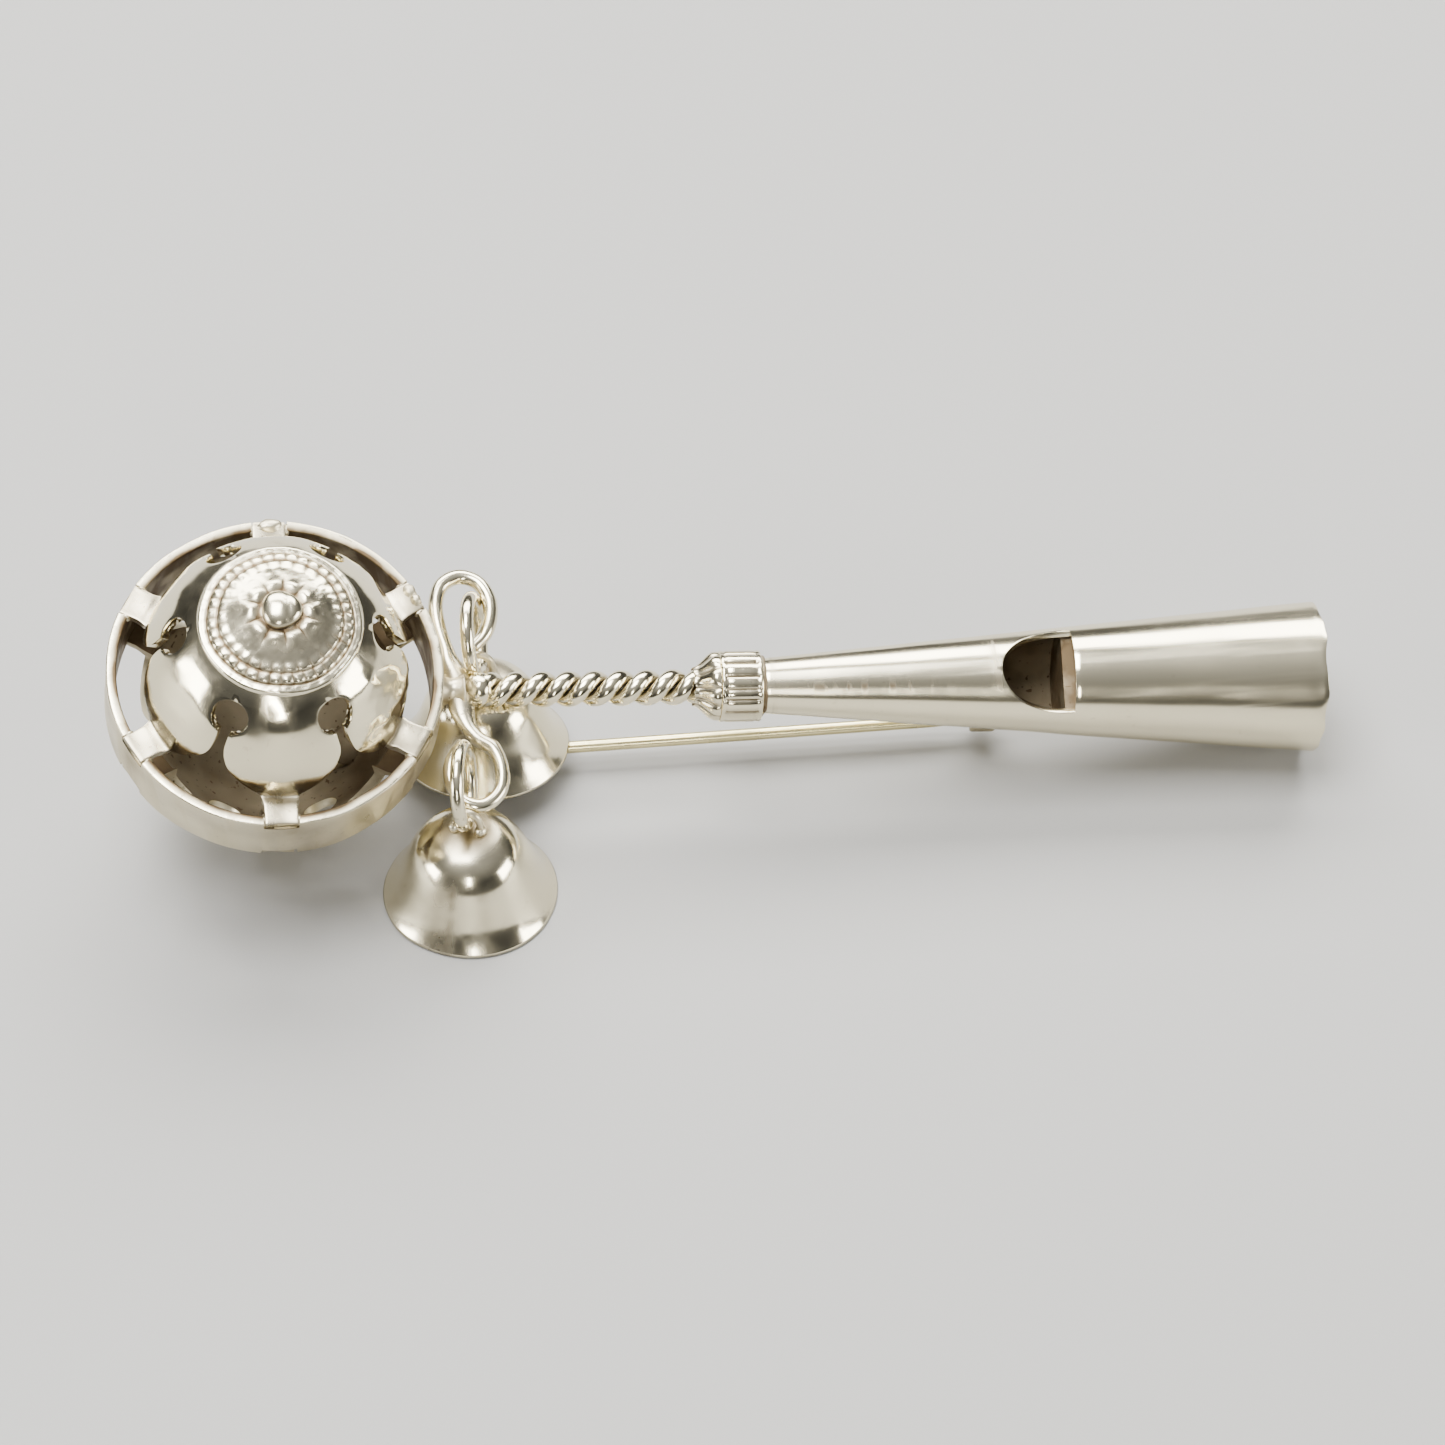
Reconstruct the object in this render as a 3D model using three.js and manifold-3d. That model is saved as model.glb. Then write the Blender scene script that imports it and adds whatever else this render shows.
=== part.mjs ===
// A silver brooch in the shape of an old baby rattle: a pierced ball head in a hoop, a twisted
// handle, two bells on rings, a whistle, and a pin on the back. It lies on a table, face up.
// Units are millimetres and +Z is up.
//
// The parts are drawn in the brooch's own frame: the handle runs along +X from the middle of
// the head, the face looks along +Z and +Y is across. Two groups then tip it as it lies.
import * as THREE from 'three';
import { mergeVertices } from 'three/addons/utils/BufferGeometryUtils.js';
import Module from 'manifold-3d';

const wasm = await Module();
wasm.setup();

// How it lies on the table
const ROLL = 15;
const PITCH = 5;

// Head
const BAND_RADIUS = 9.55;
const BAND_WALL = 0.6;
const BAND_HEIGHT = 3.8;
const BAND_TOP = 2.9;
const DOME_RADIUS = 7.5;
const DOME_WALL = 0.5;
const TAB_COUNT = 6;
const TAB_WIDTH = 1.8;
const TAB_THICKNESS = 0.55;
const TAB_REACH = 9.62;
const HOLE_RADIUS = 1.05;
const HOLE_POLAR = 50;
const NECK_HALF_WIDTH = 0.33;
const MEDALLION_RADIUS = 4.45;
const MEDALLION_THICKNESS = 0.45;

// Handle and whistle, measured along the handle from the middle of the head
const S_WIRE_X = 11.25;
const S_WIRE_RADIUS = 0.42;
const TWIST_START = 12.6;
const TWIST_END = 25.1;
const CUP_START = 24.0;
const COLLAR_START = 25.5;
const COLLAR_LENGTH = 2.4;
const COLLAR_RADIUS = 2.05;
const WHISTLE_START = 28.1;
const WHISTLE_END = 60.4;
const WHISTLE_SMALL_RADIUS = 1.6;
const WHISTLE_LARGE_RADIUS = 4.4;
const WHISTLE_WALL = 0.35;
const STRAND_RADIUS = 0.49;
const TWIST_PITCH = 3.0;
const WINDOW_START = 41.6;
const WINDOW_END = 45.8;
const WINDOW_DEPTH = 1.15;
const WINDOW_TURN = 10;
const PLUG_START = 45.35;
const PLUG_RECESS = 0.5;
const WINDWAY = 0.45;

// Rings, bells and clappers
const RING_RADIUS = 2.2;
const RING_WIRE = 0.4;
const BELL_HEIGHT = 5.4;
const BELL_MOUTH = 5.05;
const BELL_WALL = 0.3;
const STAPLE_WIRE = 0.22;
const STAPLE_RADIUS = 0.74;
const STAPLE_HEIGHT = 1.55;
const CLAPPER_BALL = 0.8;

// Where the rings and bells lie: bell A in front of the handle, bell B under it
const RING_A = { centre: [10.43, -6.5, 1.13], lean: 25.9, turn: -15.5 };
const BELL_A = { mouth: [11.2, -9.64, -6.42], tilt: [-15.7, -4.9, -18.1] };
const RING_B = { centre: [11.61, 3.42, -0.04], lean: 13.3, turn: -15.5 };
const BELL_B = { mouth: [12.59, -0.03, -7.22], tilt: [-23.1, -5.2, -17.3] };

// Pin
const PIN_RADIUS = 0.38;
const PIVOT = [4.6, -0.5, -8.5];
const PIN_TIP = [43.5, 0.15, -4.9];
const KNUCKLE_RADIUS = 0.65;
const RIVET_RADIUS = 0.26;

// Soldered pieces stand this far apart
const GAP = 0.04;

const SILVER = { color: 0xd9d5c6, roughness: 0.22, metalness: 1.0 };
const WORN_SILVER = { color: 0xc4bda8, roughness: 0.35, metalness: 1.0 };
const BRASS = { color: 0xd8c684, roughness: 0.28, metalness: 1.0 };

const radians = THREE.MathUtils.degToRad;

const piece = (name, geometry, look) => {
  const mesh = new THREE.Mesh(geometry, new THREE.MeshStandardMaterial(look));
  mesh.name = name;
  return mesh;
};

// Booleans: a closed geometry becomes a solid, and a solid becomes a geometry again
const solid = (geometry) => {
  const bare = geometry.clone();
  bare.deleteAttribute('normal');
  bare.deleteAttribute('uv');
  const merged = mergeVertices(bare, 1e-5);
  return new wasm.Manifold(
    new wasm.Mesh({
      numProp: 3,
      vertProperties: merged.attributes.position.array,
      triVerts: new Uint32Array(merged.index.array),
    }),
  );
};

const geometryOf = (body) => {
  const mesh = body.getMesh();
  const geometry = new THREE.BufferGeometry();
  geometry.setAttribute('position', new THREE.BufferAttribute(mesh.vertProperties, 3));
  geometry.setIndex(new THREE.BufferAttribute(mesh.triVerts, 1));
  return geometry;
};

const point = (x, y) => new THREE.Vector2(x, y);

// A lathe turned about Z: its profile is (radius, height)
const turned = (profile, segments) =>
  new THREE.LatheGeometry(profile, segments).rotateX(Math.PI / 2);

// The same, laid along the handle: its profile is (radius, distance along X)
const turnedAlongX = (profile, segments) =>
  new THREE.LatheGeometry(profile, segments).rotateZ(-Math.PI / 2);

const circleShape = (radius, sides) => {
  const shape = new THREE.Shape();
  for (let side = 0; side < sides; side += 1) {
    const angle = (2 * Math.PI * side) / sides;
    const corner = [radius * Math.cos(angle), radius * Math.sin(angle)];
    if (side === 0) shape.moveTo(...corner);
    else shape.lineTo(...corner);
  }
  shape.closePath();
  return shape;
};

const wireAlong = (curve, radius, steps, sides = 8) =>
  new THREE.ExtrudeGeometry(circleShape(radius, sides), {
    extrudePath: curve,
    steps,
    bevelEnabled: false,
  });

// ---------------------------------------------------------------- head

const tabAngle = (index) => 30 + (360 / TAB_COUNT) * index;
const cutAngle = (index) => (360 / TAB_COUNT) * index;

// The hoop: a plain ring with a notch for each tab in its front rim
function hoopBand() {
  const inner = BAND_RADIUS - BAND_WALL;
  const bottom = BAND_TOP - BAND_HEIGHT;
  let body = solid(
    turned(
      [
        point(inner, bottom),
        point(BAND_RADIUS, bottom),
        point(BAND_RADIUS, BAND_TOP),
        point(inner, BAND_TOP),
        point(inner, bottom),
      ],
      60,
    ),
  );
  for (const face of [BAND_TOP, bottom]) {
    for (let index = 0; index < TAB_COUNT; index += 1) {
      const depth = 2 * (TAB_THICKNESS + GAP);
      const notch = new THREE.BoxGeometry(3, TAB_WIDTH + 2 * GAP, depth);
      notch.translate(BAND_RADIUS, 0, face);
      notch.rotateZ(radians(tabAngle(index)));
      body = body.subtract(solid(notch));
    }
  }
  return piece('hoop_band', geometryOf(body), SILVER);
}

// Half a hollow ball from its rim at z = 0 up to its pole
function domeShell() {
  const outer = [];
  const inner = [];
  const steps = 6;
  for (let step = 0; step <= steps; step += 1) {
    const angle = (Math.PI / 2) * (step / steps);
    outer.push(point(DOME_RADIUS * Math.cos(angle), DOME_RADIUS * Math.sin(angle)));
    const bore = DOME_RADIUS - DOME_WALL;
    inner.push(point(bore * Math.cos(angle), bore * Math.sin(angle)));
  }
  outer[steps].x = 0;
  inner[steps].x = 0;
  return solid(turned([...inner.reverse(), ...outer], 36));
}

// One opening between two petals: it widens from a narrow neck to a slot along the hoop
function slotCutter(neckTop) {
  const tabEdge = DOME_RADIUS * Math.sin(radians(30) - Math.asin(TAB_WIDTH / 2 / DOME_RADIUS));
  const shape = new THREE.Shape();
  shape.moveTo(-NECK_HALF_WIDTH, neckTop);
  shape.lineTo(-NECK_HALF_WIDTH, 2.7);
  shape.quadraticCurveTo(-0.75, 0.75, -tabEdge, 0.12);
  shape.lineTo(-tabEdge, -1);
  shape.lineTo(tabEdge, -1);
  shape.lineTo(tabEdge, 0.12);
  shape.quadraticCurveTo(0.75, 0.75, NECK_HALF_WIDTH, 2.7);
  shape.lineTo(NECK_HALF_WIDTH, neckTop);
  shape.closePath();
  const cutter = new THREE.ExtrudeGeometry(shape, {
    depth: DOME_RADIUS,
    bevelEnabled: false,
    curveSegments: 5,
  });
  // the shape's width runs across and its height up; the extrusion runs outwards along X
  return cutter.rotateX(Math.PI / 2).rotateZ(Math.PI / 2).translate(2.5, 0, 0);
}

// The dome's shell with its tabs, sawn out between them
function petalDome(withHoles) {
  let body = domeShell();
  for (let index = 0; index < TAB_COUNT; index += 1) {
    const length = TAB_REACH - DOME_RADIUS + 0.3;
    const tab = new THREE.BoxGeometry(length, TAB_WIDTH, TAB_THICKNESS);
    tab.translate(TAB_REACH - length / 2, 0, -TAB_THICKNESS / 2 + 0.08);
    body = body.add(solid(tab.rotateZ(radians(tabAngle(index)))));
  }
  for (let index = 0; index < TAB_COUNT; index += 1) {
    const turn = radians(cutAngle(index));
    body = body.subtract(solid(slotCutter(withHoles ? 4.3 : 2.8).rotateZ(turn)));
    if (withHoles) {
      const hole = new THREE.CylinderGeometry(HOLE_RADIUS, HOLE_RADIUS, 3, 12);
      hole.rotateX(Math.PI / 2).translate(0, 0, DOME_RADIUS);
      hole.rotateY(radians(HOLE_POLAR)).rotateZ(turn);
      body = body.subtract(solid(hole));
    }
  }
  return body;
}

function frontDome() {
  const geometry = geometryOf(petalDome(true));
  return piece('front_dome', geometry.translate(0, 0, BAND_TOP - 0.08), SILVER);
}

function rearDome() {
  const geometry = geometryOf(petalDome(false)).rotateX(Math.PI);
  return piece('rear_dome', geometry.translate(0, 0, BAND_TOP - BAND_HEIGHT + 0.08), WORN_SILVER);
}

// A thin dished disc on the crown of the dome, with a raised rim
function medallionDisc() {
  const crown = BAND_TOP - 0.08;
  const dishAt = (radius, lift) =>
    point(radius, crown + Math.sqrt((DOME_RADIUS + lift) ** 2 - radius ** 2));
  const profile = [];
  const steps = 6;
  for (let step = 0; step <= steps; step += 1) {
    profile.push(dishAt((MEDALLION_RADIUS * step) / steps, GAP));
  }
  profile.push(dishAt(MEDALLION_RADIUS, MEDALLION_THICKNESS));
  profile.push(dishAt(MEDALLION_RADIUS - 0.45, MEDALLION_THICKNESS + 0.02));
  profile.push(dishAt(MEDALLION_RADIUS - 0.6, MEDALLION_THICKNESS - 0.15));
  profile.push(dishAt(2.0, MEDALLION_THICKNESS - 0.15));
  profile.push(dishAt(0, MEDALLION_THICKNESS - 0.15));
  return piece('medallion_disc', turned(profile, 30), SILVER);
}

// A low rosette in the middle of the disc
function medallionBoss() {
  const base = BAND_TOP - 0.08 + DOME_RADIUS + MEDALLION_THICKNESS - 0.15 + GAP;
  const profile = [
    point(0, base - 0.02),
    point(0.9, base - 0.02),
    point(1.25, base + 0.05),
    point(1.15, base + 0.3),
    point(0.7, base + 0.55),
    point(0, base + 0.65),
  ];
  return piece('medallion_boss', turned(profile, 16), SILVER);
}

// ---------------------------------------------------------------- handle

// The wire's middle line, from the end of one eye, through the middle, to the end of the other
function sWire() {
  const upper = [
    [0.3, 2.8],
    [1.0, 3.5],
    [1.42, 4.7],
    [1.35, 6.0],
    [0.7, 6.95],
    [-0.2, 7.25],
    [-1.15, 6.8],
    [-1.6, 5.7],
    [-1.5, 4.2],
    [-1.15, 2.4],
    [-0.75, 1.1],
  ];
  const lower = upper.map(([x, y]) => [-x, -y]).reverse();
  const path = [...upper, ...lower].map(([x, y]) => new THREE.Vector3(S_WIRE_X + x, y, 0));
  const curve = new THREE.CatmullRomCurve3(path, false, 'centripetal');
  return piece('s_wire', wireAlong(curve, S_WIRE_RADIUS, 46), SILVER);
}

function neckBlock() {
  const start = BAND_RADIUS + GAP;
  const end = S_WIRE_X - S_WIRE_RADIUS - 0.55;
  const profile = [
    point(0, start),
    point(1.05, start),
    point(0.8, (start + end) / 2),
    point(0.75, end),
    point(0, end),
  ];
  return piece('neck_block', turnedAlongX(profile, 16), WORN_SILVER);
}

// One strand of the left-hand twist, starting at the given side of the axis
class StrandCurve extends THREE.Curve {
  constructor(phase) {
    super();
    this.phase = phase;
  }

  getPoint(t, target = new THREE.Vector3()) {
    const along = (TWIST_END - TWIST_START) * t;
    const angle = this.phase - (2 * Math.PI * along) / TWIST_PITCH;
    const offset = STRAND_RADIUS + GAP;
    return target.set(TWIST_START + along, offset * Math.cos(angle), offset * Math.sin(angle));
  }
}

function twistStrand(name, phase) {
  return piece(name, wireAlong(new StrandCurve(phase), STRAND_RADIUS, 38), SILVER);
}

// A cup whose wall is crimped in folds where it meets the twist
function crimpedCup() {
  const end = COLLAR_START - GAP;
  const bore = 2 * STRAND_RADIUS + 3 * GAP;
  const profile = [
    point(bore, CUP_START),
    point(bore + 0.15, CUP_START),
    point(1.55, CUP_START + 0.7),
    point(1.95, end - 0.15),
    point(1.95, end),
    point(bore, end),
    point(bore, CUP_START),
  ];
  return piece('crimped_cup', turnedAlongX(profile, 24), SILVER);
}

// A band of lengthwise flutes between two thin rims
function flutedCollar() {
  const flutes = 16;
  const shape = new THREE.Shape();
  for (let step = 0; step < flutes * 4; step += 1) {
    const angle = (2 * Math.PI * step) / (flutes * 4);
    const radius = COLLAR_RADIUS - [0.2, 0.06, 0, 0.06][step % 4];
    const corner = [radius * Math.cos(angle), radius * Math.sin(angle)];
    if (step === 0) shape.moveTo(...corner);
    else shape.lineTo(...corner);
  }
  shape.closePath();
  const body = new THREE.ExtrudeGeometry(shape, { depth: COLLAR_LENGTH, bevelEnabled: false });
  body.rotateY(Math.PI / 2).translate(COLLAR_START, 0, 0);
  return piece('fluted_collar', body, SILVER);
}

const whistleRadius = (x) =>
  WHISTLE_SMALL_RADIUS +
  ((WHISTLE_LARGE_RADIUS - WHISTLE_SMALL_RADIUS) * (x - WHISTLE_START)) /
    (WHISTLE_END - WHISTLE_START);

// A thin cone, closed at its small end, with a D-shaped window cut by a slope and a step
function whistleTube() {
  const floor = WHISTLE_START + 1;
  const cone = turnedAlongX(
    [
      point(0, WHISTLE_START),
      point(WHISTLE_SMALL_RADIUS, WHISTLE_START),
      point(WHISTLE_LARGE_RADIUS, WHISTLE_END),
      point(WHISTLE_LARGE_RADIUS - WHISTLE_WALL, WHISTLE_END),
      point(whistleRadius(floor) - WHISTLE_WALL, floor),
      point(0, floor),
    ],
    40,
  );
  const cut = new THREE.Shape();
  cut.moveTo(WINDOW_START, whistleRadius(WINDOW_START));
  cut.lineTo(WINDOW_END, whistleRadius(WINDOW_END) - WINDOW_DEPTH);
  cut.lineTo(WINDOW_END, 8);
  cut.lineTo(WINDOW_START, 8);
  cut.closePath();
  const width = 10;
  const wedge = new THREE.ExtrudeGeometry(cut, { depth: width, bevelEnabled: false });
  wedge.translate(0, 0, -width / 2).rotateX(Math.PI / 2).rotateX(radians(WINDOW_TURN));
  return piece('whistle_tube', geometryOf(solid(cone).subtract(solid(wedge))), SILVER);
}

// The block that fills the mouth of the whistle, with a flat windway on its window side
function whistlePlug() {
  const end = WHISTLE_END - PLUG_RECESS;
  const fit = WHISTLE_WALL + GAP;
  const block = turnedAlongX(
    [
      point(0, PLUG_START),
      point(whistleRadius(PLUG_START) - fit, PLUG_START),
      point(whistleRadius(end) - fit, end),
      point(0, end),
    ],
    40,
  );
  const cut = new THREE.Shape();
  cut.moveTo(PLUG_START - 1, whistleRadius(PLUG_START) - WINDOW_DEPTH - WINDWAY);
  cut.lineTo(end + 1, whistleRadius(end) - WHISTLE_WALL - WINDWAY);
  cut.lineTo(end + 1, 8);
  cut.lineTo(PLUG_START - 1, 8);
  cut.closePath();
  const width = 10;
  const slab = new THREE.ExtrudeGeometry(cut, { depth: width, bevelEnabled: false });
  slab.translate(0, 0, -width / 2).rotateX(Math.PI / 2).rotateX(radians(WINDOW_TURN));
  return piece('whistle_plug', geometryOf(solid(block).subtract(solid(slab))), WORN_SILVER);
}

// ---------------------------------------------------------------- rings and bells

// A ring's frame: one axis leans up from +Y by lean, and the other, its nearest side to a
// viewer in front, is swung by turn from straight out
function ringFrame({ centre, lean, turn }) {
  const up = new THREE.Vector3(0, Math.cos(radians(lean)), Math.sin(radians(lean)));
  const near = new THREE.Vector3(0, -up.z, up.y).multiplyScalar(Math.cos(radians(turn)));
  near.x = Math.sin(radians(turn));
  const group = new THREE.Group();
  const basis = new THREE.Matrix4().makeBasis(up, near, up.clone().cross(near));
  group.quaternion.setFromRotationMatrix(basis);
  group.position.set(...centre);
  return group;
}

function jumpRing(name) {
  return piece(name, new THREE.TorusGeometry(RING_RADIUS, RING_WIRE, 8, 28), SILVER);
}

// The bell's outer line from mouth to crown: a flared skirt under a rounded dome
const bellLine = [
  [1.0, 0.0],
  [0.9, 0.1],
  [0.8, 0.22],
  [0.7, 0.38],
  [0.61, 0.57],
  [0.51, 0.76],
  [0.37, 0.9],
  [0.2, 0.98],
  [0.0, 1.0],
].map(([across, up]) => point(BELL_MOUTH * across, BELL_HEIGHT * up));

// The bell's wall, its mouth open at z = 0 and its crown up
function bell(name) {
  const inner = bellLine.map((spot, index) => {
    const before = bellLine[Math.max(index - 1, 0)];
    const after = bellLine[Math.min(index + 1, bellLine.length - 1)];
    const run = after.clone().sub(before).normalize();
    return point(Math.max(spot.x - BELL_WALL * run.y, 0), spot.y + BELL_WALL * run.x);
  });
  inner[0] = point(BELL_MOUTH - BELL_WALL * 1.1, 0);
  inner[inner.length - 1] = point(0, BELL_HEIGHT - BELL_WALL);
  return piece(name, turned([...inner.reverse(), ...bellLine], 24), SILVER);
}

// A staple that stands on the crown, its arch across X
function crownStaple(name) {
  const foot = BELL_HEIGHT + 0.01;
  const path = [
    [-STAPLE_RADIUS, foot],
    [-STAPLE_RADIUS, foot + STAPLE_HEIGHT - 1],
    [-0.52, foot + STAPLE_HEIGHT - 0.26],
    [0, foot + STAPLE_HEIGHT],
    [0.52, foot + STAPLE_HEIGHT - 0.26],
    [STAPLE_RADIUS, foot + STAPLE_HEIGHT - 1],
    [STAPLE_RADIUS, foot],
  ].map(([x, z]) => new THREE.Vector3(x, 0, z));
  const curve = new THREE.CatmullRomCurve3(path, false, 'centripetal');
  return piece(name, wireAlong(curve, STAPLE_WIRE, 14, 8), SILVER);
}

const CLAPPER_PIVOT = BELL_HEIGHT - BELL_WALL - 0.75;

// A small loop inside the crown that carries the clapper, its arch across Y
function clapperLoop(name) {
  const top = BELL_HEIGHT - BELL_WALL - 0.12;
  const path = [
    [-0.42, top - 0.12],
    [-0.42, top - 0.45],
    [0, CLAPPER_PIVOT - 0.18],
    [0.42, top - 0.45],
    [0.42, top - 0.12],
  ].map(([y, z]) => new THREE.Vector3(0, y, z));
  const curve = new THREE.CatmullRomCurve3(path, false, 'centripetal');
  return piece(name, wireAlong(curve, 0.1, 12, 6), SILVER);
}

// The clapper: a thin rod with an eye at its top and a ball at its foot
function clapper(name) {
  const eyeCentre = CLAPPER_PIVOT - 0.24;
  const eye = new THREE.TorusGeometry(0.3, 0.11, 6, 14);
  eye.rotateX(Math.PI / 2).translate(0, 0, eyeCentre);
  const rodTop = eyeCentre - 0.3;
  const ballCentre = 0.5 + CLAPPER_BALL;
  const rod = turned(
    [
      point(0, ballCentre - CLAPPER_BALL),
      point(CLAPPER_BALL * 0.6, ballCentre - CLAPPER_BALL * 0.8),
      point(CLAPPER_BALL, ballCentre),
      point(CLAPPER_BALL * 0.6, ballCentre + CLAPPER_BALL * 0.8),
      point(0.18, ballCentre + CLAPPER_BALL),
      point(0.18, rodTop),
      point(0, rodTop),
    ],
    16,
  );
  return piece(name, geometryOf(solid(eye).add(solid(rod))), SILVER);
}

// One ring with its bell, placed by the middle of the bell's mouth and its tilt
function bellOnRing(letter, ringPlace, bellPlace) {
  const ring = ringFrame(ringPlace);
  ring.add(jumpRing(`ring_${letter}`));
  const whole = new THREE.Group();
  whole.position.set(...bellPlace.mouth);
  whole.rotation.set(...bellPlace.tilt.map(radians));
  whole.add(bell(`bell_${letter}`));
  whole.add(crownStaple(`bell_staple_${letter}`));
  whole.add(clapperLoop(`clapper_loop_${letter}`));
  whole.add(clapper(`clapper_${letter}`));
  return [ring, whole];
}

// ---------------------------------------------------------------- pin

// Two lugs on a foot that sits on the rear dome
function hingeBlock() {
  const [x, y, z] = PIVOT;
  let body = solid(new THREE.BoxGeometry(2.6, 2.9, 2.6).translate(x, y, z + 1.65));
  for (const side of [-1, 1]) {
    const lug = new THREE.CylinderGeometry(KNUCKLE_RADIUS, KNUCKLE_RADIUS, 0.85, 16);
    lug.translate(x, y + side * 1.02, z);
    body = body.add(solid(lug));
    const web = new THREE.BoxGeometry(2 * KNUCKLE_RADIUS, 0.85, 0.8);
    web.translate(x, y + side * 1.02, z + 0.4);
    body = body.add(solid(web));
  }
  const bore = new THREE.CylinderGeometry(RIVET_RADIUS + GAP, RIVET_RADIUS + GAP, 6, 12);
  body = body.subtract(solid(bore.translate(x, y, z)));
  const dome = new THREE.SphereGeometry(DOME_RADIUS + 2 * GAP, 32, 20);
  dome.rotateX(Math.PI / 2).translate(0, 0, BAND_TOP - BAND_HEIGHT + 0.08);
  body = body.subtract(solid(dome));
  const reach = KNUCKLE_RADIUS + 0.12;
  const swing = new THREE.CylinderGeometry(reach, reach, 1.19, 20);
  body = body.subtract(solid(swing.translate(x, y, z)));
  const channel = new THREE.BoxGeometry(2, 1.19, 2 * reach);
  body = body.subtract(solid(channel.translate(x + 1, y, z)));
  return piece('hinge_block', geometryOf(body), WORN_SILVER);
}

function hingeRivet() {
  const half = 1.46;
  const profile = [
    point(0, -half - 0.2),
    point(0.42, -half - 0.2),
    point(0.45, -half),
    point(RIVET_RADIUS, -half),
    point(RIVET_RADIUS, half),
    point(0.45, half),
    point(0.42, half + 0.2),
    point(0, half + 0.2),
  ];
  const rivet = new THREE.LatheGeometry(profile, 12);
  return piece('hinge_rivet', rivet.translate(...PIVOT), WORN_SILVER);
}

// The pin: an eye on the rivet, a straight stem and a long point
function pinStem() {
  const start = new THREE.Vector3(...PIVOT);
  const end = new THREE.Vector3(...PIN_TIP);
  const along = end.clone().sub(start);
  const length = along.length();
  const stem = turned(
    [
      point(0, 0.45),
      point(PIN_RADIUS, 0.45),
      point(PIN_RADIUS, length - 5),
      point(0.06, length),
      point(0, length),
    ],
    10,
  );
  const aim = new THREE.Quaternion().setFromUnitVectors(
    new THREE.Vector3(0, 0, 1),
    along.clone().normalize(),
  );
  stem.applyQuaternion(aim);
  const eye = new THREE.CylinderGeometry(KNUCKLE_RADIUS, KNUCKLE_RADIUS, 1.05, 18);
  const bore = new THREE.CylinderGeometry(RIVET_RADIUS + GAP, RIVET_RADIUS + GAP, 6, 12);
  const body = solid(stem).add(solid(eye)).subtract(solid(bore));
  return piece('pin_stem', geometryOf(body).translate(...PIVOT), BRASS);
}

// A hook under the whistle: the pin drops into it, between two cheeks
function catchHook() {
  const x = 41.6;
  const along = (x - PIVOT[0]) / (PIN_TIP[0] - PIVOT[0]);
  const y = PIVOT[1] + (PIN_TIP[1] - PIVOT[1]) * along;
  const z = PIVOT[2] + (PIN_TIP[2] - PIVOT[2]) * along;
  const inner = PIN_RADIUS + 0.1;
  const outer = inner + 0.38;
  const shape = new THREE.Shape();
  shape.moveTo(-outer, -0.5);
  shape.lineTo(-inner, -0.5);
  shape.lineTo(-inner, 0);
  shape.absarc(0, 0, inner, Math.PI, 0, true);
  shape.lineTo(inner, -0.5);
  shape.lineTo(outer, -0.5);
  shape.lineTo(outer, 3);
  shape.lineTo(-outer, 3);
  shape.closePath();
  const width = 1.6;
  const hook = new THREE.ExtrudeGeometry(shape, {
    depth: width,
    bevelEnabled: false,
    curveSegments: 8,
  });
  hook.rotateX(Math.PI / 2).rotateZ(Math.PI / 2).translate(x - width / 2, y, z);
  const whistle = turnedAlongX(
    [
      point(0, WHISTLE_START),
      point(WHISTLE_SMALL_RADIUS + GAP, WHISTLE_START),
      point(WHISTLE_LARGE_RADIUS + GAP, WHISTLE_END),
      point(0, WHISTLE_END),
    ],
    40,
  );
  return piece('catch_hook', geometryOf(solid(hook).subtract(solid(whistle))), WORN_SILVER);
}

// ---------------------------------------------------------------- assembly

const brooch = new THREE.Group();
brooch.rotation.x = radians(ROLL);
brooch.add(hoopBand(), frontDome(), rearDome(), medallionDisc(), medallionBoss());
brooch.add(neckBlock(), sWire());
brooch.add(twistStrand('twist_strand_a', 0), twistStrand('twist_strand_b', Math.PI));
brooch.add(crimpedCup(), flutedCollar(), whistleTube(), whistlePlug());
brooch.add(hingeBlock(), hingeRivet(), pinStem(), catchHook());
brooch.add(...bellOnRing('a', RING_A, BELL_A));
brooch.add(...bellOnRing('b', RING_B, BELL_B));

const lying = new THREE.Group();
lying.rotation.y = radians(PITCH);
lying.add(brooch);

// It stands on z = 0 with the origin under the middle of its box
const rattle = new THREE.Group();
rattle.add(lying);
rattle.updateMatrixWorld(true);
const box = new THREE.Box3().setFromObject(rattle, true);
const middle = box.getCenter(new THREE.Vector3());
lying.position.set(-middle.x, -middle.y, -box.min.z);

export default rattle;
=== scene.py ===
"""A silver brooch in the shape of an old baby rattle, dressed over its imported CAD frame.

Shapes are worked out in millimetres in the brooch's own frame: the handle runs along +X from
the middle of the head, the face looks along +Z and +Y is across. place() then tips a shape
as the brooch lies and turns it into metres.
"""

import math

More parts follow.
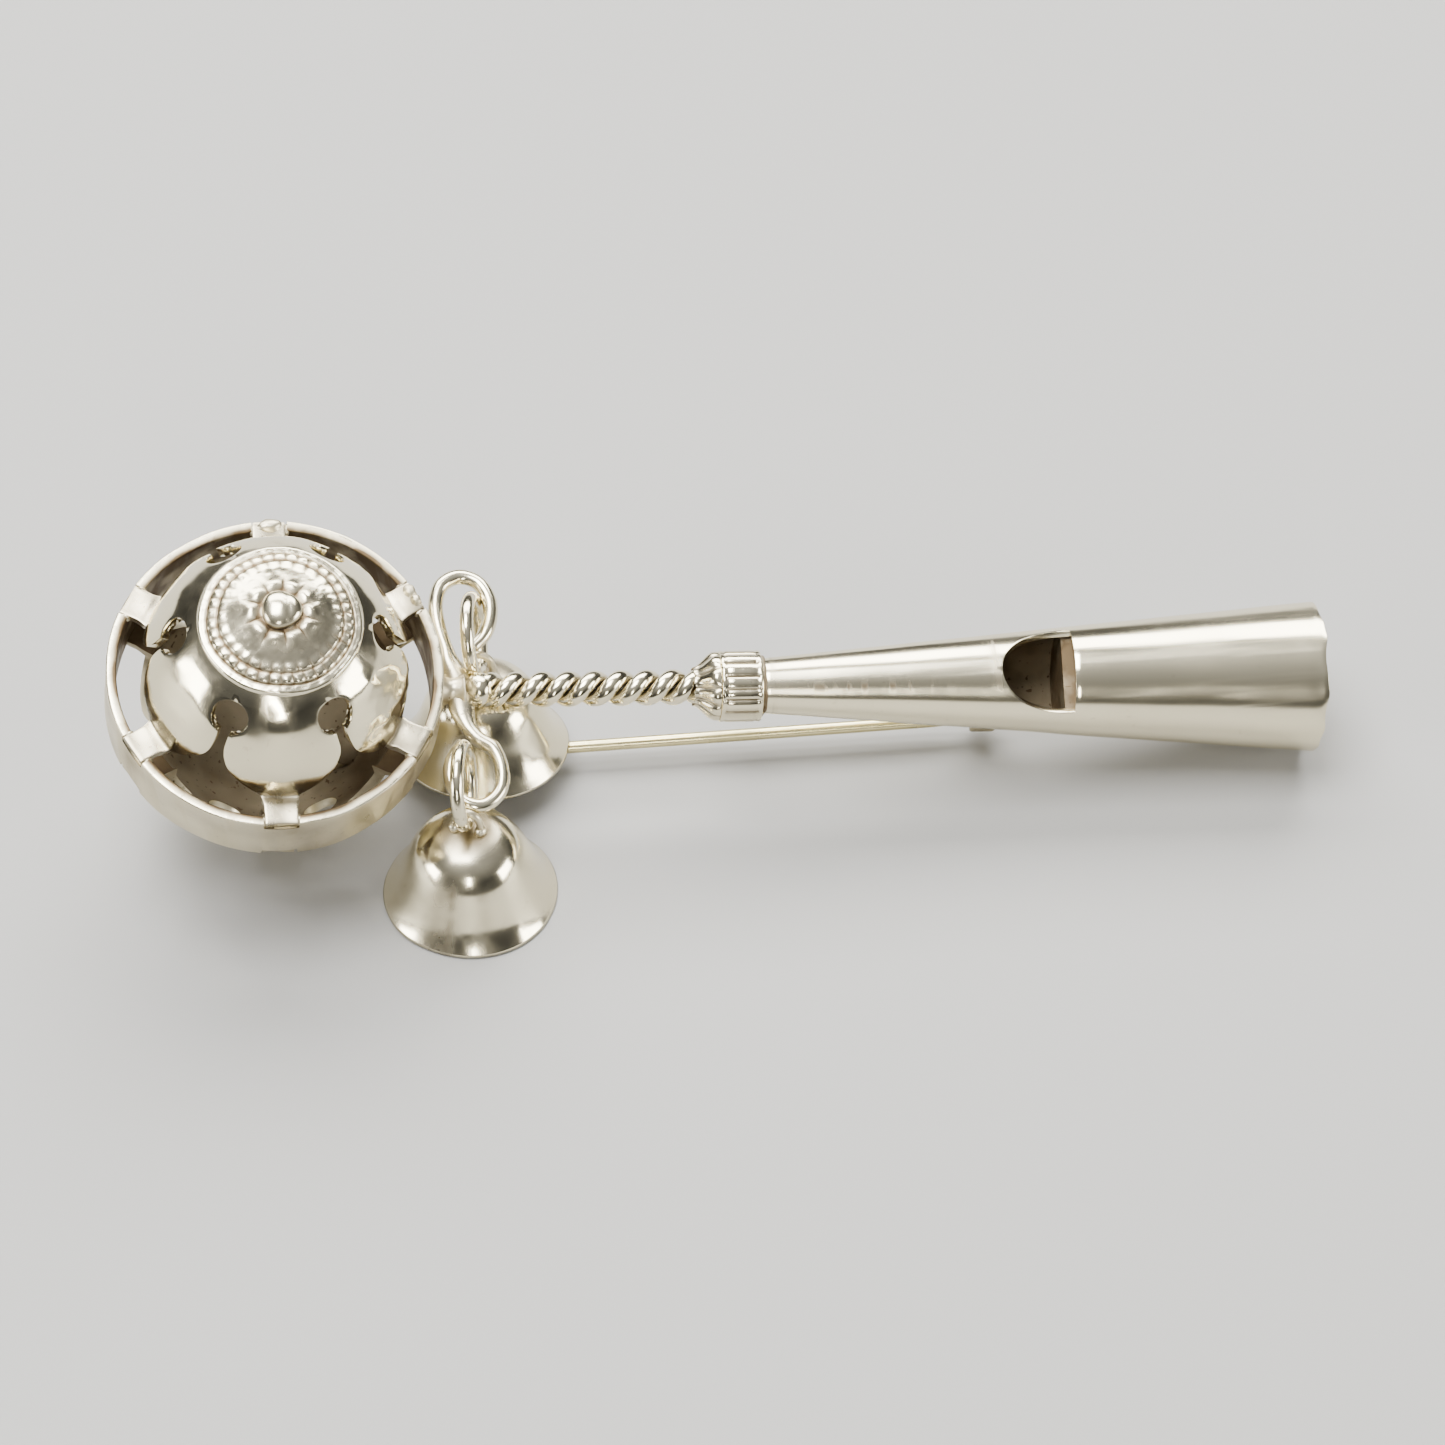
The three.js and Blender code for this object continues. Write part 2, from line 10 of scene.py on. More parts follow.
import bmesh
import bpy
import numpy as np
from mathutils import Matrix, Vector


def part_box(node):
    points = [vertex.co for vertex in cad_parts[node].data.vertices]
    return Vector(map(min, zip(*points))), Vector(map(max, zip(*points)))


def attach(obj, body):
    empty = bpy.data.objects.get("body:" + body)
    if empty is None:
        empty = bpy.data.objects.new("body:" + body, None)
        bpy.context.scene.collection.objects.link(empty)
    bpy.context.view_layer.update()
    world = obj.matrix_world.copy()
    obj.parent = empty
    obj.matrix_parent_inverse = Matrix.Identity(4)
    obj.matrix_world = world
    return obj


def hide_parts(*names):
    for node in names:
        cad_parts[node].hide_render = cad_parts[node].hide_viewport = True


bl_info = {
    "name": "Rattle brooch",
    "version": (1, 0, 0),
    "blender": (4, 5, 0),
    "location": "View3D > Sidebar > Rattle",
    "description": "Builds the finished pieces of a silver rattle brooch over its CAD frame",
    "category": "Object",
}

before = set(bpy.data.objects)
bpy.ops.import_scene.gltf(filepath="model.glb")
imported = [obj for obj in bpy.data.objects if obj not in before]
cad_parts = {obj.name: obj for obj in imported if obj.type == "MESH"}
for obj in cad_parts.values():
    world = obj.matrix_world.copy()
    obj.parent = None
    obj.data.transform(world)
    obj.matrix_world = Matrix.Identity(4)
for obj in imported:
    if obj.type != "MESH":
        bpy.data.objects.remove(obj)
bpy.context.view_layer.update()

TAU = 2 * math.pi
MM = 0.001

# How it lies on the table, in degrees
ROLL = 15.0
PITCH = 5.0

# Head
BAND_MIDDLE = 1.0
TAB_COUNT = 6
TAB_FIRST = 30.0
DOME_SEAT = 0.08  # how far a half ball sinks into the hoop
HOLE_POLAR = 50.0
HOLE_RADIUS = 1.05
SAW_CUT_HALF = 0.33
FULLER = 1.03  # the ball is this much wider than it is high
HOOP_WALL = 0.6
NOTCH_HALF = 0.98
NOTCH_DEPTH = 0.56
NOTCH_CHEEK = 0.35  # degrees over which a notch's side falls

# Handle
S_WIRE_X = 11.25
TWIST_START = 11.6
TWIST_END = 25.1
TWIST_PITCH = 3.0
TWIST_PHASE = 12.6
STRAND_RADIUS = 0.505
STRAND_OFFSET = 0.53
CUP_START = 24.0
COLLAR_START = 25.5
COLLAR_END = 27.9
COLLAR_DRAWN = 2.4  # the length its levels are drawn to
CUP_BORE = 1.06
WHISTLE_START = 28.0
WHISTLE_END = 60.4
WINDOW_START = 41.6
WINDOW_END = 45.8
WINDOW_HALF_WIDTH = 2.42
WINDOW_TURN = 10.0
PLUG_START = 45.35
PLUG_END = 59.9
WHISTLE_WALL = 0.35

# Rings, bells and pin: where they lie, as in the frame
RINGS = {
    "a": ([10.43, -6.5, 1.13], 25.9, -15.5),
    "b": ([11.61, 3.42, -0.04], 13.3, -15.5),
}
BELLS = {
    "a": ([11.2, -9.64, -6.42], (-15.7, -4.9, -18.1)),
    "b": ([12.59, -0.03, -7.22], (-23.1, -5.2, -17.3)),
}
CATCH_X = 41.6
HOOK_RADIUS = 0.66
PIVOT = np.array([4.6, -0.5, -8.5])
PIN_TIP = np.array([43.5, 0.15, -4.9])


# ------------------------------------------------------------------ sizes and colours


def length(name, description, default):
    """A size in metres that the sidebar shows as a length."""
    return bpy.props.FloatProperty(
        name=name, description=description, default=default,
        min=0.0001, precision=5, subtype="DISTANCE", unit="LENGTH",
    )


def tint(name, description, default):
    """A colour that the sidebar shows as a swatch."""
    return bpy.props.FloatVectorProperty(
        name=name, description=description, default=default, size=3, min=0, max=1, subtype="COLOR"
    )


class RattleSizes(bpy.types.PropertyGroup):
    dome_radius: length("Ball radius", "Radius of the pierced half balls", 0.0075)
    dome_wall: length("Ball wall", "Thickness of the sheet the half balls are raised from", 0.0005)
    band_radius: length("Hoop radius", "Outer radius of the hoop", 0.00955)
    band_height: length("Hoop height", "Height of the hoop from edge to edge", 0.0038)
    medallion_radius: length("Medallion radius", "Radius of the beaded disc on the crown", 0.00430)
    wire_radius: length("S wire radius", "Half the thickness of the S shaped wire", 0.00044)
    ring_radius: length("Ring radius", "Radius of the loose rings to the middle of their wire", 0.0022)
    ring_wire: length("Ring wire radius", "Half the thickness of the rings' wire", 0.0004)
    bell_height: length("Bell height", "From the mouth of a bell to its crown", 0.0054)
    bell_mouth: length("Bell mouth radius", "Radius of a bell at its mouth", 0.00505)
    whistle_small: length("Whistle small radius", "Radius of the whistle at the collar", 0.0016)
    whistle_large: length("Whistle mouth radius", "Radius of the whistle at its mouth", 0.0044)
    pin_radius: length("Pin radius", "Half the thickness of the pin", 0.00036)
    silver: tint("Silver", "Colour of the polished silver", (0.90, 0.825, 0.61))
    # this colour is the tarnish's, and it also paints the bells' dark streaks, a painted reflection
    tarnish_and_painted_reflection: tint("Tarnish", "Colour of the brown tarnish in the recesses", (0.11, 0.072, 0.036))
    brass: tint("Pin brass", "Colour of the pale brass pin", (0.86, 0.76, 0.42))


def sizes():
    """The sizes and colours as they are set in the sidebar."""
    return bpy.context.scene.rattle_sizes


# ------------------------------------------------------------------ frames


def turn_x(degrees):
    """The matrix that turns about +X, and those about +Y and +Z below."""
    a = math.radians(degrees)
    return np.array([[1, 0, 0], [0, math.cos(a), -math.sin(a)], [0, math.sin(a), math.cos(a)]])


def turn_y(degrees):
    a = math.radians(degrees)
    return np.array([[math.cos(a), 0, math.sin(a)], [0, 1, 0], [-math.sin(a), 0, math.cos(a)]])


def turn_z(degrees):
    a = math.radians(degrees)
    return np.array([[math.cos(a), -math.sin(a), 0], [math.sin(a), math.cos(a), 0], [0, 0, 1]])


LYING = turn_y(PITCH) @ turn_x(ROLL)
_low, _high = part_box("hoop_band")
HEAD = (np.array(_low) + np.array(_high)) / 2 / MM - LYING @ np.array([0, 0, BAND_MIDDLE])


def place(points):
    """Brooch millimetres to world metres: tip by the roll, then the pitch, then move to the head."""
    return (points @ LYING.T + HEAD) * MM


def ring_frame(letter):
    """The ring's centre and axes: one axis leans up from +Y, the other is swung from the front."""
    centre, lean, turn = RINGS[letter]
    lean, turn = math.radians(lean), math.radians(turn)
    up = np.array([0, math.cos(lean), math.sin(lean)])
    near = np.array([0, -up[2], up[1]]) * math.cos(turn)
    near[0] = math.sin(turn)
    return np.array(centre), np.stack([up, near, np.cross(up, near)], axis=1)


def bell_frame(letter):
    """The middle of the bell's mouth, and its axes with +Z from the mouth to the crown."""
    mouth, (x, y, z) = BELLS[letter]
    return np.array(mouth), turn_x(x) @ turn_y(y) @ turn_z(z)


def ripple(points, size, seed):
    """A smooth unevenness: sums of sines along random directions, about -1 to 1 at each point."""
    rng = np.random.default_rng(seed)
    total = np.zeros(points.shape[:-1])
    for octave in range(3):
        for _ in range(4):
            direction = rng.normal(size=3)
            direction /= np.linalg.norm(direction)
            phase = rng.uniform(0, TAU)
            scale = TAU / (size / 1.7**octave)
            total += np.sin(points @ direction * scale + phase) / 1.5**octave
    return total / 4.5


def once_round(count):
    """Angles spread evenly round a full turn."""
    return np.linspace(0, TAU, count, endpoint=False)


def hump(value, at, width, power=2):
    """A smooth hump: e to the minus (distance from its middle over its width) to a power."""
    return np.exp(-(((value - at) / width) ** power))


def smooth_step(value, low, high):
    """Rises from 0 to 1 between low and high as 3t squared less 2t cubed."""
    t = np.clip((value - low) / (high - low), 0, 1)
    return t * t * (3 - 2 * t)


def unit_rows(rows):
    """Each row divided by its length."""
    return rows / np.linalg.norm(rows, axis=1, keepdims=True)


# ------------------------------------------------------------------ meshes


def grid_faces(rows, columns, wrap_rows=False, wrap_columns=False):
    """The quads of a grid of points numbered row by row."""
    row = np.arange(rows if wrap_rows else rows - 1)
    column = np.arange(columns if wrap_columns else columns - 1)
    r, c = np.meshgrid(row, column, indexing="ij")
    r2, c2 = (r + 1) % rows, (c + 1) % columns
    corners = [r * columns + c, r * columns + c2, r2 * columns + c2, r2 * columns + c]
    return np.stack(corners, axis=-1).reshape(-1, 4)


def make_mesh(name, points, faces, flip=None, marks=None, sharp=None):
    """A mesh object from whole arrays. Doubles are merged, and a closed mesh is turned outwards
    by the sign of its volume, which is a sixth of the sum of its corners' triple products."""
    mesh = bpy.data.meshes.new(name)
    world = place(points.reshape(-1, 3))
    mesh.from_pydata(world, [], faces.tolist())
    if marks is not None:
        # the per-point mark: tarnish, and on the bells also painted reflection
        layer = mesh.attributes.new("tarnish_and_painted_reflection", "FLOAT", "POINT")
        spread = np.broadcast_to(np.asarray(marks, np.float32).reshape(-1), len(world))
        layer.data.foreach_set("value", np.ascontiguousarray(spread))
    shape = bmesh.new()
    shape.from_mesh(mesh)
    bmesh.ops.remove_doubles(shape, verts=shape.verts, dist=2e-7)
    bmesh.ops.dissolve_degenerate(shape, edges=shape.edges, dist=1e-8)
    if flip is None:
        flip = shape.calc_volume(signed=True) < 0
    if flip:
        bmesh.ops.reverse_faces(shape, faces=shape.faces)
    shape.to_mesh(mesh)
    shape.free()
    mesh.polygons.foreach_set("use_smooth", np.ones(len(mesh.polygons), bool))
    if sharp is not None:
        mesh.set_sharp_from_angle(angle=math.radians(sharp))
    made = bpy.data.objects.new(name, mesh)
    bpy.context.scene.collection.objects.link(made)
    return made


def joined(shapes):
    """Several (points, faces, marks) shapes as one."""
    points, faces, marks, start = [], [], [], 0
    for shape in shapes:
        spots = shape[0].reshape(-1, 3)
        points.append(spots)
        faces.append(shape[1] + start)
        marks.append(np.broadcast_to(shape[2] if len(shape) > 2 else 0.0, len(spots)))
        start += len(spots)
    return np.concatenate(points), np.concatenate(faces), np.concatenate(marks)


def path_frames(path, closed):
    """Two unit normals at each point of a path, carried along it without turning about it. On a
    closed path the turn left at the end is shared out evenly."""
    if closed:
        tangents = np.roll(path, -1, axis=0) - np.roll(path, 1, axis=0)
    else:
        tangents = np.gradient(path, axis=0)
    tangents = unit_rows(tangents)
    normal = np.cross(tangents[0], [0.3, 0.2, 0.9])
    normals = []
    for tangent in tangents:
        normal = normal - tangent * (normal @ tangent)
        normal = normal / np.linalg.norm(normal)
        normals.append(normal)
    normals = np.array(normals)
    sides = np.cross(tangents, normals)
    if closed:
        last = normals[-1] - tangents[0] * (normals[-1] @ tangents[0])
        angle = math.atan2(last @ sides[0], last @ normals[0])
        fix = -angle * np.arange(len(path)) / len(path)
        normals, sides = (
            normals * np.cos(fix)[:, None] + sides * np.sin(fix)[:, None],
            sides * np.cos(fix)[:, None] - normals * np.sin(fix)[:, None],
        )
    return tangents, normals, sides


CAP_ROWS = 6
CAP_REACH = 0.7


def wire(path, radius, sides=20, closed=False):
    """A round wire carried along a path. Each section is a circle about the path, and an open
    wire's ends are rounded over by quarter circles."""
    path = np.asarray(path, float)
    radius = np.broadcast_to(np.asarray(radius, float), len(path)).copy()
    if not closed:
        tangents = unit_rows(np.gradient(path, axis=0))
        bend = np.linspace(0, math.pi / 2, CAP_ROWS + 1)[1:]
        head = path[0] - tangents[0] * (np.sin(bend) * radius[0] * CAP_REACH)[:, None]
        tail = path[-1] + tangents[-1] * (np.sin(bend) * radius[-1] * CAP_REACH)[:, None]
        path = np.concatenate([head[::-1], path, tail])
        ends = np.maximum(np.cos(bend), 0)
        radius = np.concatenate([(ends * radius[0])[::-1], radius, ends * radius[-1]])
    _, normals, across = path_frames(path, closed)
    angle = once_round(sides)[None, :, None]
    ring = normals[:, None] * np.cos(angle) + across[:, None] * np.sin(angle)
    points = path[:, None] + ring * radius[:, None, None]
    return points, grid_faces(len(path), sides, wrap_rows=closed, wrap_columns=True)


def smooth_path(knots, count, closed=False):
    """Points evenly spread along a smooth line through the knots (a centripetal spline)."""
    knots = np.asarray(knots, float)
    if closed:
        knots = np.concatenate([knots[-1:], knots, knots[:2]])
    else:
        knots = np.concatenate([2 * knots[:1] - knots[1:2], knots, 2 * knots[-1:] - knots[-2:-1]])
    fine = []
    step = np.linspace(0, 1, 40, endpoint=False)[:, None]
    for k in range(1, len(knots) - 2):
        p0, p1, p2, p3 = knots[k - 1 : k + 3]
        t0 = 0.0
        t1 = t0 + np.linalg.norm(p1 - p0) ** 0.5
        t2 = t1 + np.linalg.norm(p2 - p1) ** 0.5
        t3 = t2 + np.linalg.norm(p3 - p2) ** 0.5
        t = t1 + (t2 - t1) * step
        a1 = (t1 - t) / (t1 - t0) * p0 + (t - t0) / (t1 - t0) * p1
        a2 = (t2 - t) / (t2 - t1) * p1 + (t - t1) / (t2 - t1) * p2
        a3 = (t3 - t) / (t3 - t2) * p2 + (t - t2) / (t3 - t2) * p3
        b1 = (t2 - t) / (t2 - t0) * a1 + (t - t0) / (t2 - t0) * a2
        b2 = (t3 - t) / (t3 - t1) * a2 + (t - t1) / (t3 - t1) * a3
        fine.append((t2 - t) / (t2 - t1) * b1 + (t - t1) / (t2 - t1) * b2)
    fine = np.concatenate(fine + ([] if closed else [knots[-2:-1]]))
    if closed:
        fine = np.concatenate([fine, fine[:1]])
    run = np.concatenate([[0], np.cumsum(np.linalg.norm(np.diff(fine, axis=0), axis=1))])
    at = np.linspace(0, run[-1], count, endpoint=not closed)
    return np.stack([np.interp(at, run, fine[:, k]) for k in range(3)], axis=1)


def turned(profile, columns, axis="z"):
    """A profile of (radius, height) pairs turned about an axis. A profile that starts and ends on
    the axis closes there, and any other closes on itself."""
    profile = np.asarray(profile, float)
    angle = once_round(columns)
    radius, height = profile[:, 0, None], np.repeat(profile[:, 1, None], columns, axis=1)
    across, along = radius * np.cos(angle), radius * np.sin(angle)
    points = (
        np.stack([across, along, height], axis=-1)
        if axis == "z"
        else np.stack([height, across, along], axis=-1)
    )
    on_axis = profile[0, 0] < 1e-9 and profile[-1, 0] < 1e-9
    return points, grid_faces(len(profile), columns, wrap_rows=not on_axis, wrap_columns=True)


def rounded_profile(corners, radius=0.06, steps=4):
    """A closed outline with each corner cut by a small curve (a quadratic from side to side)."""
    corners = np.asarray(corners, float)
    before, after = np.roll(corners, 1, axis=0), np.roll(corners, -1, axis=0)
    lead, trail = before - corners, after - corners
    lead_len = np.linalg.norm(lead, axis=1, keepdims=True)
    trail_len = np.linalg.norm(trail, axis=1, keepdims=True)
    a = corners + lead / lead_len * np.minimum(radius, lead_len / 2.2)
    b = corners + trail / trail_len * np.minimum(radius, trail_len / 2.2)
    t = np.linspace(0, 1, steps + 1)[None, :, None]
    curve = (1 - t) ** 2 * a[:, None] + 2 * t * (1 - t) * corners[:, None] + t**2 * b[:, None]
    return curve.reshape(-1, 2)


def blob(centre, reach, seed, rows=14, columns=20, axes=None, rough=0.14):
    """A drop of solder: an ellipsoid whose radius ripples with its direction."""
    polar = np.linspace(0, math.pi, rows)[:, None]
    angle = once_round(columns)[None]
    unit = np.stack(
        [np.sin(polar) * np.cos(angle), np.sin(polar) * np.sin(angle), np.cos(polar) + 0 * angle],
        axis=-1,
    )
    swell = 1 + rough * ripple(unit, 1.6, seed)
    points = unit * swell[..., None] * np.asarray(reach)
    if axes is not None:
        points = points @ np.asarray(axes).T
    return points + np.asarray(centre), grid_faces(rows, columns, wrap_columns=True)


def strap(path, middle, half_width, half_thickness, sides=28):
    """A flat strap bent along a path of (y, z) points, its width running along x. Each section is
    a superellipse: half_width along x, half_thickness across the bend, and both ends close."""
    path = np.asarray(path, float)
    run = unit_rows(np.gradient(path, axis=0))
    across = np.column_stack([-run[:, 1], run[:, 0]])
    angle = once_round(sides)
    wide = np.sign(np.cos(angle)) * np.abs(np.cos(angle)) ** 0.35
    thick = np.sign(np.sin(angle)) * np.abs(np.sin(angle)) ** 0.5
    half_width = np.broadcast_to(half_width, len(path))[:, None]
    half_thickness = np.broadcast_to(half_thickness, len(path))[:, None]
    x = middle + half_width * wide
    y = path[:, :1] + across[:, :1] * half_thickness * thick
    z = path[:, 1:] + across[:, 1:] * half_thickness * thick
    return np.stack([x, y, z], axis=-1), grid_faces(len(path), sides, wrap_columns=True)


def rounded_ends(run, radius, reach):
    """How a strap's half width falls to nothing over a round end: a quarter circle each end."""
    left = np.minimum(run, run[-1] - run)
    t = np.clip(left / reach, 0, 1)
    return radius * np.sqrt(np.clip(1 - (1 - t) ** 2, 0, 1))


# ------------------------------------------------------------------ materials


# Ripples to the metre in the noises
CLOUDS = 420
BROAD = 130
SPECKS = 2600
SCRATCHES = 900
STROKES = 1500
DULL_SPOTS = 260
BUMP_DEPTH = 0.00002
# the most a surface is darkened towards the tarnish colour, painted reflection on the bells included
MOST_STAIN_AND_PAINTED_REFLECTION = 0.97
STRAW_SHARE = 0.45


def node(tree, kind, **values):
    """A new node with its own settings."""
    made = tree.nodes.new(kind)
    for key, value in values.items():
        setattr(made, key, value)
    return made


def metal_base(name, colour, roughness):
    """A plain metal, with its node tree, its shader and the piece's own coordinates."""
    material = bpy.data.materials.new(name)
    material.use_nodes = True
    tree = material.node_tree
    shader = tree.nodes["Principled BSDF"]
    shader.inputs["Metallic"].default_value = 1.0
    shader.inputs["Roughness"].default_value = roughness
    shader.inputs["Base Color"].default_value = (*colour, 1)
    where = node(tree, "ShaderNodeTexCoord")
    return material, tree, shader, where.outputs["Object"]


def noise(tree, where, scale, detail=3.0, stretch=None):
    """A noise over the piece's own coordinates, stretched where scratches run one way."""
    link = tree.links.new
    if stretch is not None:
        mapping = node(tree, "ShaderNodeMapping")
        mapping.inputs["Scale"].default_value = stretch
        link(where, mapping.inputs["Vector"])
        where = mapping.outputs["Vector"]
    texture = node(tree, "ShaderNodeTexNoise")
    texture.inputs["Scale"].default_value = scale
    texture.inputs["Detail"].default_value = detail
    link(where, texture.inputs["Vector"])
    return texture.outputs["Fac"]


def ramp(tree, value, *stops):
    """A colour ramp through (position, grey) stops."""
    made = node(tree, "ShaderNodeValToRGB")
    elements = made.color_ramp.elements
    while len(elements) < len(stops):
        elements.new(0.5)
    for element, (position, grey) in zip(elements, stops):
        element.position = position
        element.color = (grey, grey, grey, 1)
    tree.links.new(value, made.inputs["Fac"])
    return made.outputs["Color"]


def feed(tree, socket, value):
    """Sets a socket to a number or a colour, or links another socket to it."""
    if isinstance(value, tuple):
        socket.default_value = (*value, 1)
    elif isinstance(value, (int, float)):
        socket.default_value = value
    else:
        tree.links.new(value, socket)


def maths(tree, operation, *values):
    """One sum over sockets and numbers."""
    made = node(tree, "ShaderNodeMath", operation=operation)
    for socket, value in zip(made.inputs, values):
        feed(tree, socket, value)
    return made.outputs["Value"]


def plus(tree, first, *rest):
    """The sum of all the values, added in order."""
    for value in rest:
        first = maths(tree, "ADD", first, value)
    return first


def times(tree, first, second):
    """The product of two values."""
    return maths(tree, "MULTIPLY", first, second)


def mixed(tree, factor, first, second):
    """A colour between two, by a factor."""
    made = node(tree, "ShaderNodeMix", data_type="RGBA")
    feed(tree, made.inputs["Factor"], factor)
    feed(tree, made.inputs[6], first)
    feed(tree, made.inputs[7], second)
    return made.outputs[2]


def bumped(tree, shader, height, strength):
    """Raises the shader's surface by a height between 0 and 1."""
    bump = node(tree, "ShaderNodeBump")
    bump.inputs["Strength"].default_value = strength
    bump.inputs["Distance"].default_value = BUMP_DEPTH
    tree.links.new(height, bump.inputs["Height"])
    tree.links.new(bump.outputs["Normal"], shader.inputs["Normal"])


def silver(name, roughness, scratch=(1, 1, 1), scratch_depth=0.25, wear=0.5, grime=0.25,
           dent=0.12, base=0.0, strokes=None):
    """Old silver: warm and bright, with fine scratches that follow the work, hazy rubbed patches,
    shallow dents, brown tarnish where the piece's own mark says and in small specks, and on the
    bells a painted reflection of the dark surroundings carried by the same mark."""
    colours = sizes()
    material, tree, shader, where = metal_base(name, colours.silver, roughness)
    mark = node(tree, "ShaderNodeAttribute", attribute_name="tarnish_and_painted_reflection").outputs["Fac"]
    cloud = noise(tree, where, CLOUDS, 5)
    broad = noise(tree, where, BROAD)
    specks = ramp(tree, noise(tree, where, SPECKS, 2), (0, 0), (0.66, 0), (0.74, 1))
    lines = noise(tree, where, SCRATCHES, 4, scratch)
    fine = ramp(tree, lines, (0, 0), (0.47, 0.1), (0.56, 0.9), (1, 1))
    haze = ramp(tree, broad, (0, 0), (0.5, 0), (0.75, 1))

    patchy = times(tree, mark, plus(tree, 0.55, cloud))
    if strokes:
        rubs = ramp(tree, noise(tree, where, STROKES, 2, strokes), (0, 0), (0.52, 0), (0.6, 1))
        patchy = times(tree, patchy, rubs)
    # darkening towards the tarnish colour: tarnish and specks, and on the bells also painted reflection
    stain_and_painted_reflection = plus(tree, patchy, times(tree, specks, grime), times(tree, haze, grime * 0.5), base)
    stain_and_painted_reflection = maths(tree, "MINIMUM", stain_and_painted_reflection, MOST_STAIN_AND_PAINTED_REFLECTION)
    straw = tuple(
        (1 - STRAW_SHARE) * s + STRAW_SHARE * t for s, t in zip(colours.silver, colours.brass)
    )
    bright = mixed(tree, times(tree, cloud, 0.35), tuple(colours.silver), straw)
    colour = mixed(tree, stain_and_painted_reflection, bright, tuple(colours.tarnish_and_painted_reflection))
    tree.links.new(colour, shader.inputs["Base Color"])

    worn = times(tree, fine, 0.12 * wear)
    rough = plus(tree, roughness, worn, times(tree, haze, 0.10 * wear), times(tree, stain_and_painted_reflection, 0.30))
    tree.links.new(rough, shader.inputs["Roughness"])
    height = plus(tree, times(tree, fine, 0.35), times(tree, broad, dent * 20))
    bumped(tree, shader, height, scratch_depth)
    return material


def pale_brass(name):
    """Drawn brass wire: pale gold, with draw lines along it and a few duller stretches."""
    brass = tuple(sizes().brass)
    material, tree, shader, where = metal_base(name, brass, 0.2)
    draw = noise(tree, where, SCRATCHES, 3, (0.03, 1, 1))
    dull = ramp(tree, noise(tree, where, DULL_SPOTS, 4), (0, 0), (0.5, 0), (0.7, 1))
    dark = tuple(0.5 * c for c in brass)
    tree.links.new(mixed(tree, times(tree, dull, 0.5), brass, dark), shader.inputs["Base Color"])
    rough = plus(tree, 0.16, times(tree, draw, 0.14), times(tree, dull, 0.1))
    tree.links.new(rough, shader.inputs["Roughness"])
    bumped(tree, shader, draw, 0.2)
    return material


# How each silver finish is worked; scratch and strokes say how far lines are drawn out each way
ALONG_HANDLE = (0.05, 1, 1)
FINISHES = {
    "polished": dict(name="polished silver", roughness=0.10, scratch=(1, 1, 0.15), grime=0.15),
    "brushed": dict(
        name="brushed hoop silver", roughness=0.2, scratch=(1, 1, 0.04), scratch_depth=0.9,
        wear=1.4, grime=0.1,
    ),
    "chased": dict(name="chased medallion silver", roughness=0.14, grime=0.3, dent=0.05),
    "drawn": dict(name="drawn silver wire", roughness=0.13, grime=0.35),
    "spun": dict(
        name="spun bell silver", roughness=0.13, scratch=(1, 1, 0.12), scratch_depth=0.3, grime=0.12
    ),
    "rubbed": dict(
        name="rubbed whistle silver", roughness=0.15, scratch=ALONG_HANDLE, scratch_depth=0.4, grime=0.12,
        strokes=(1, 0.14, 0.14),
    ),
    "dull": dict(name="dull back silver", roughness=0.3, scratch_depth=0.5, wear=1.0, grime=0.35, base=0.12),
    "solder": dict(name="silver solder", roughness=0.25, scratch_depth=0.8, wear=1.0, grime=0.6, dent=0.3),
    "inside": dict(
        name="dark inside silver", roughness=0.42, scratch_depth=0.8, grime=0.5, dent=0.3, base=0.74
    ),
}
MATERIALS = {}


def material(key):
    """Each finish is made once and shared by its pieces."""
    if key not in MATERIALS:
        MATERIALS[key] = pale_brass("pale brass wire") if key == "brass" else silver(**FINISHES[key])
    return MATERIALS[key]


def finish_piece(made, finish, body, slot, *nodes, inner=None):
    """Gives a piece its finish, its body and the CAD nodes it stands for."""
    made.data.materials.clear()
    made.data.materials.append(material(finish))
    if inner:
        made.data.materials.append(material(inner))
    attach(made, body)
    if nodes:
        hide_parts(*nodes)
    return made


# ------------------------------------------------------------------ head


def petal_outline(dome):
    """Rows of one petal from the crown to its foot, as (polar angle, half its width in azimuth).
    Above the holes a petal fills its sixth of the ball. Beside a hole its edge is the hole's
    circle, then a narrow saw cut, then a rounded shoulder that runs in to the tab."""
    hole_angle = math.degrees(HOLE_RADIUS / dome)
    full = 180.0 / TAB_COUNT
    rows = [(polar, full) for polar in np.linspace(2.0, HOLE_POLAR - hole_angle, 15)]
    end = math.pi - math.asin(SAW_CUT_HALF / HOLE_RADIUS)
    for a in np.linspace(0, end, 18)[1:]:
        polar = HOLE_POLAR - hole_angle * math.cos(a)
        chord = HOLE_RADIUS * math.sin(a)
        rows.append((polar, full - math.degrees(chord / (dome * math.sin(math.radians(polar))))))
    knots_polar = [rows[-1][0], 61.0, 65.0, 69.0, 72.5, 76.0, 79.5, 83.0, 86.5, 89.4]
    knots_width = [rows[-1][1], 27.2, 27.1, 26.4, 25.0, 22.6, 19.4, 15.6, 11.6, 8.0]
    t = np.linspace(0, 1, 30)[1:]
    at = np.linspace(0, 1, len(knots_polar))
    rows += list(zip(np.interp(t, at, knots_polar), np.interp(t, at, knots_width)))
    return np.array(rows)


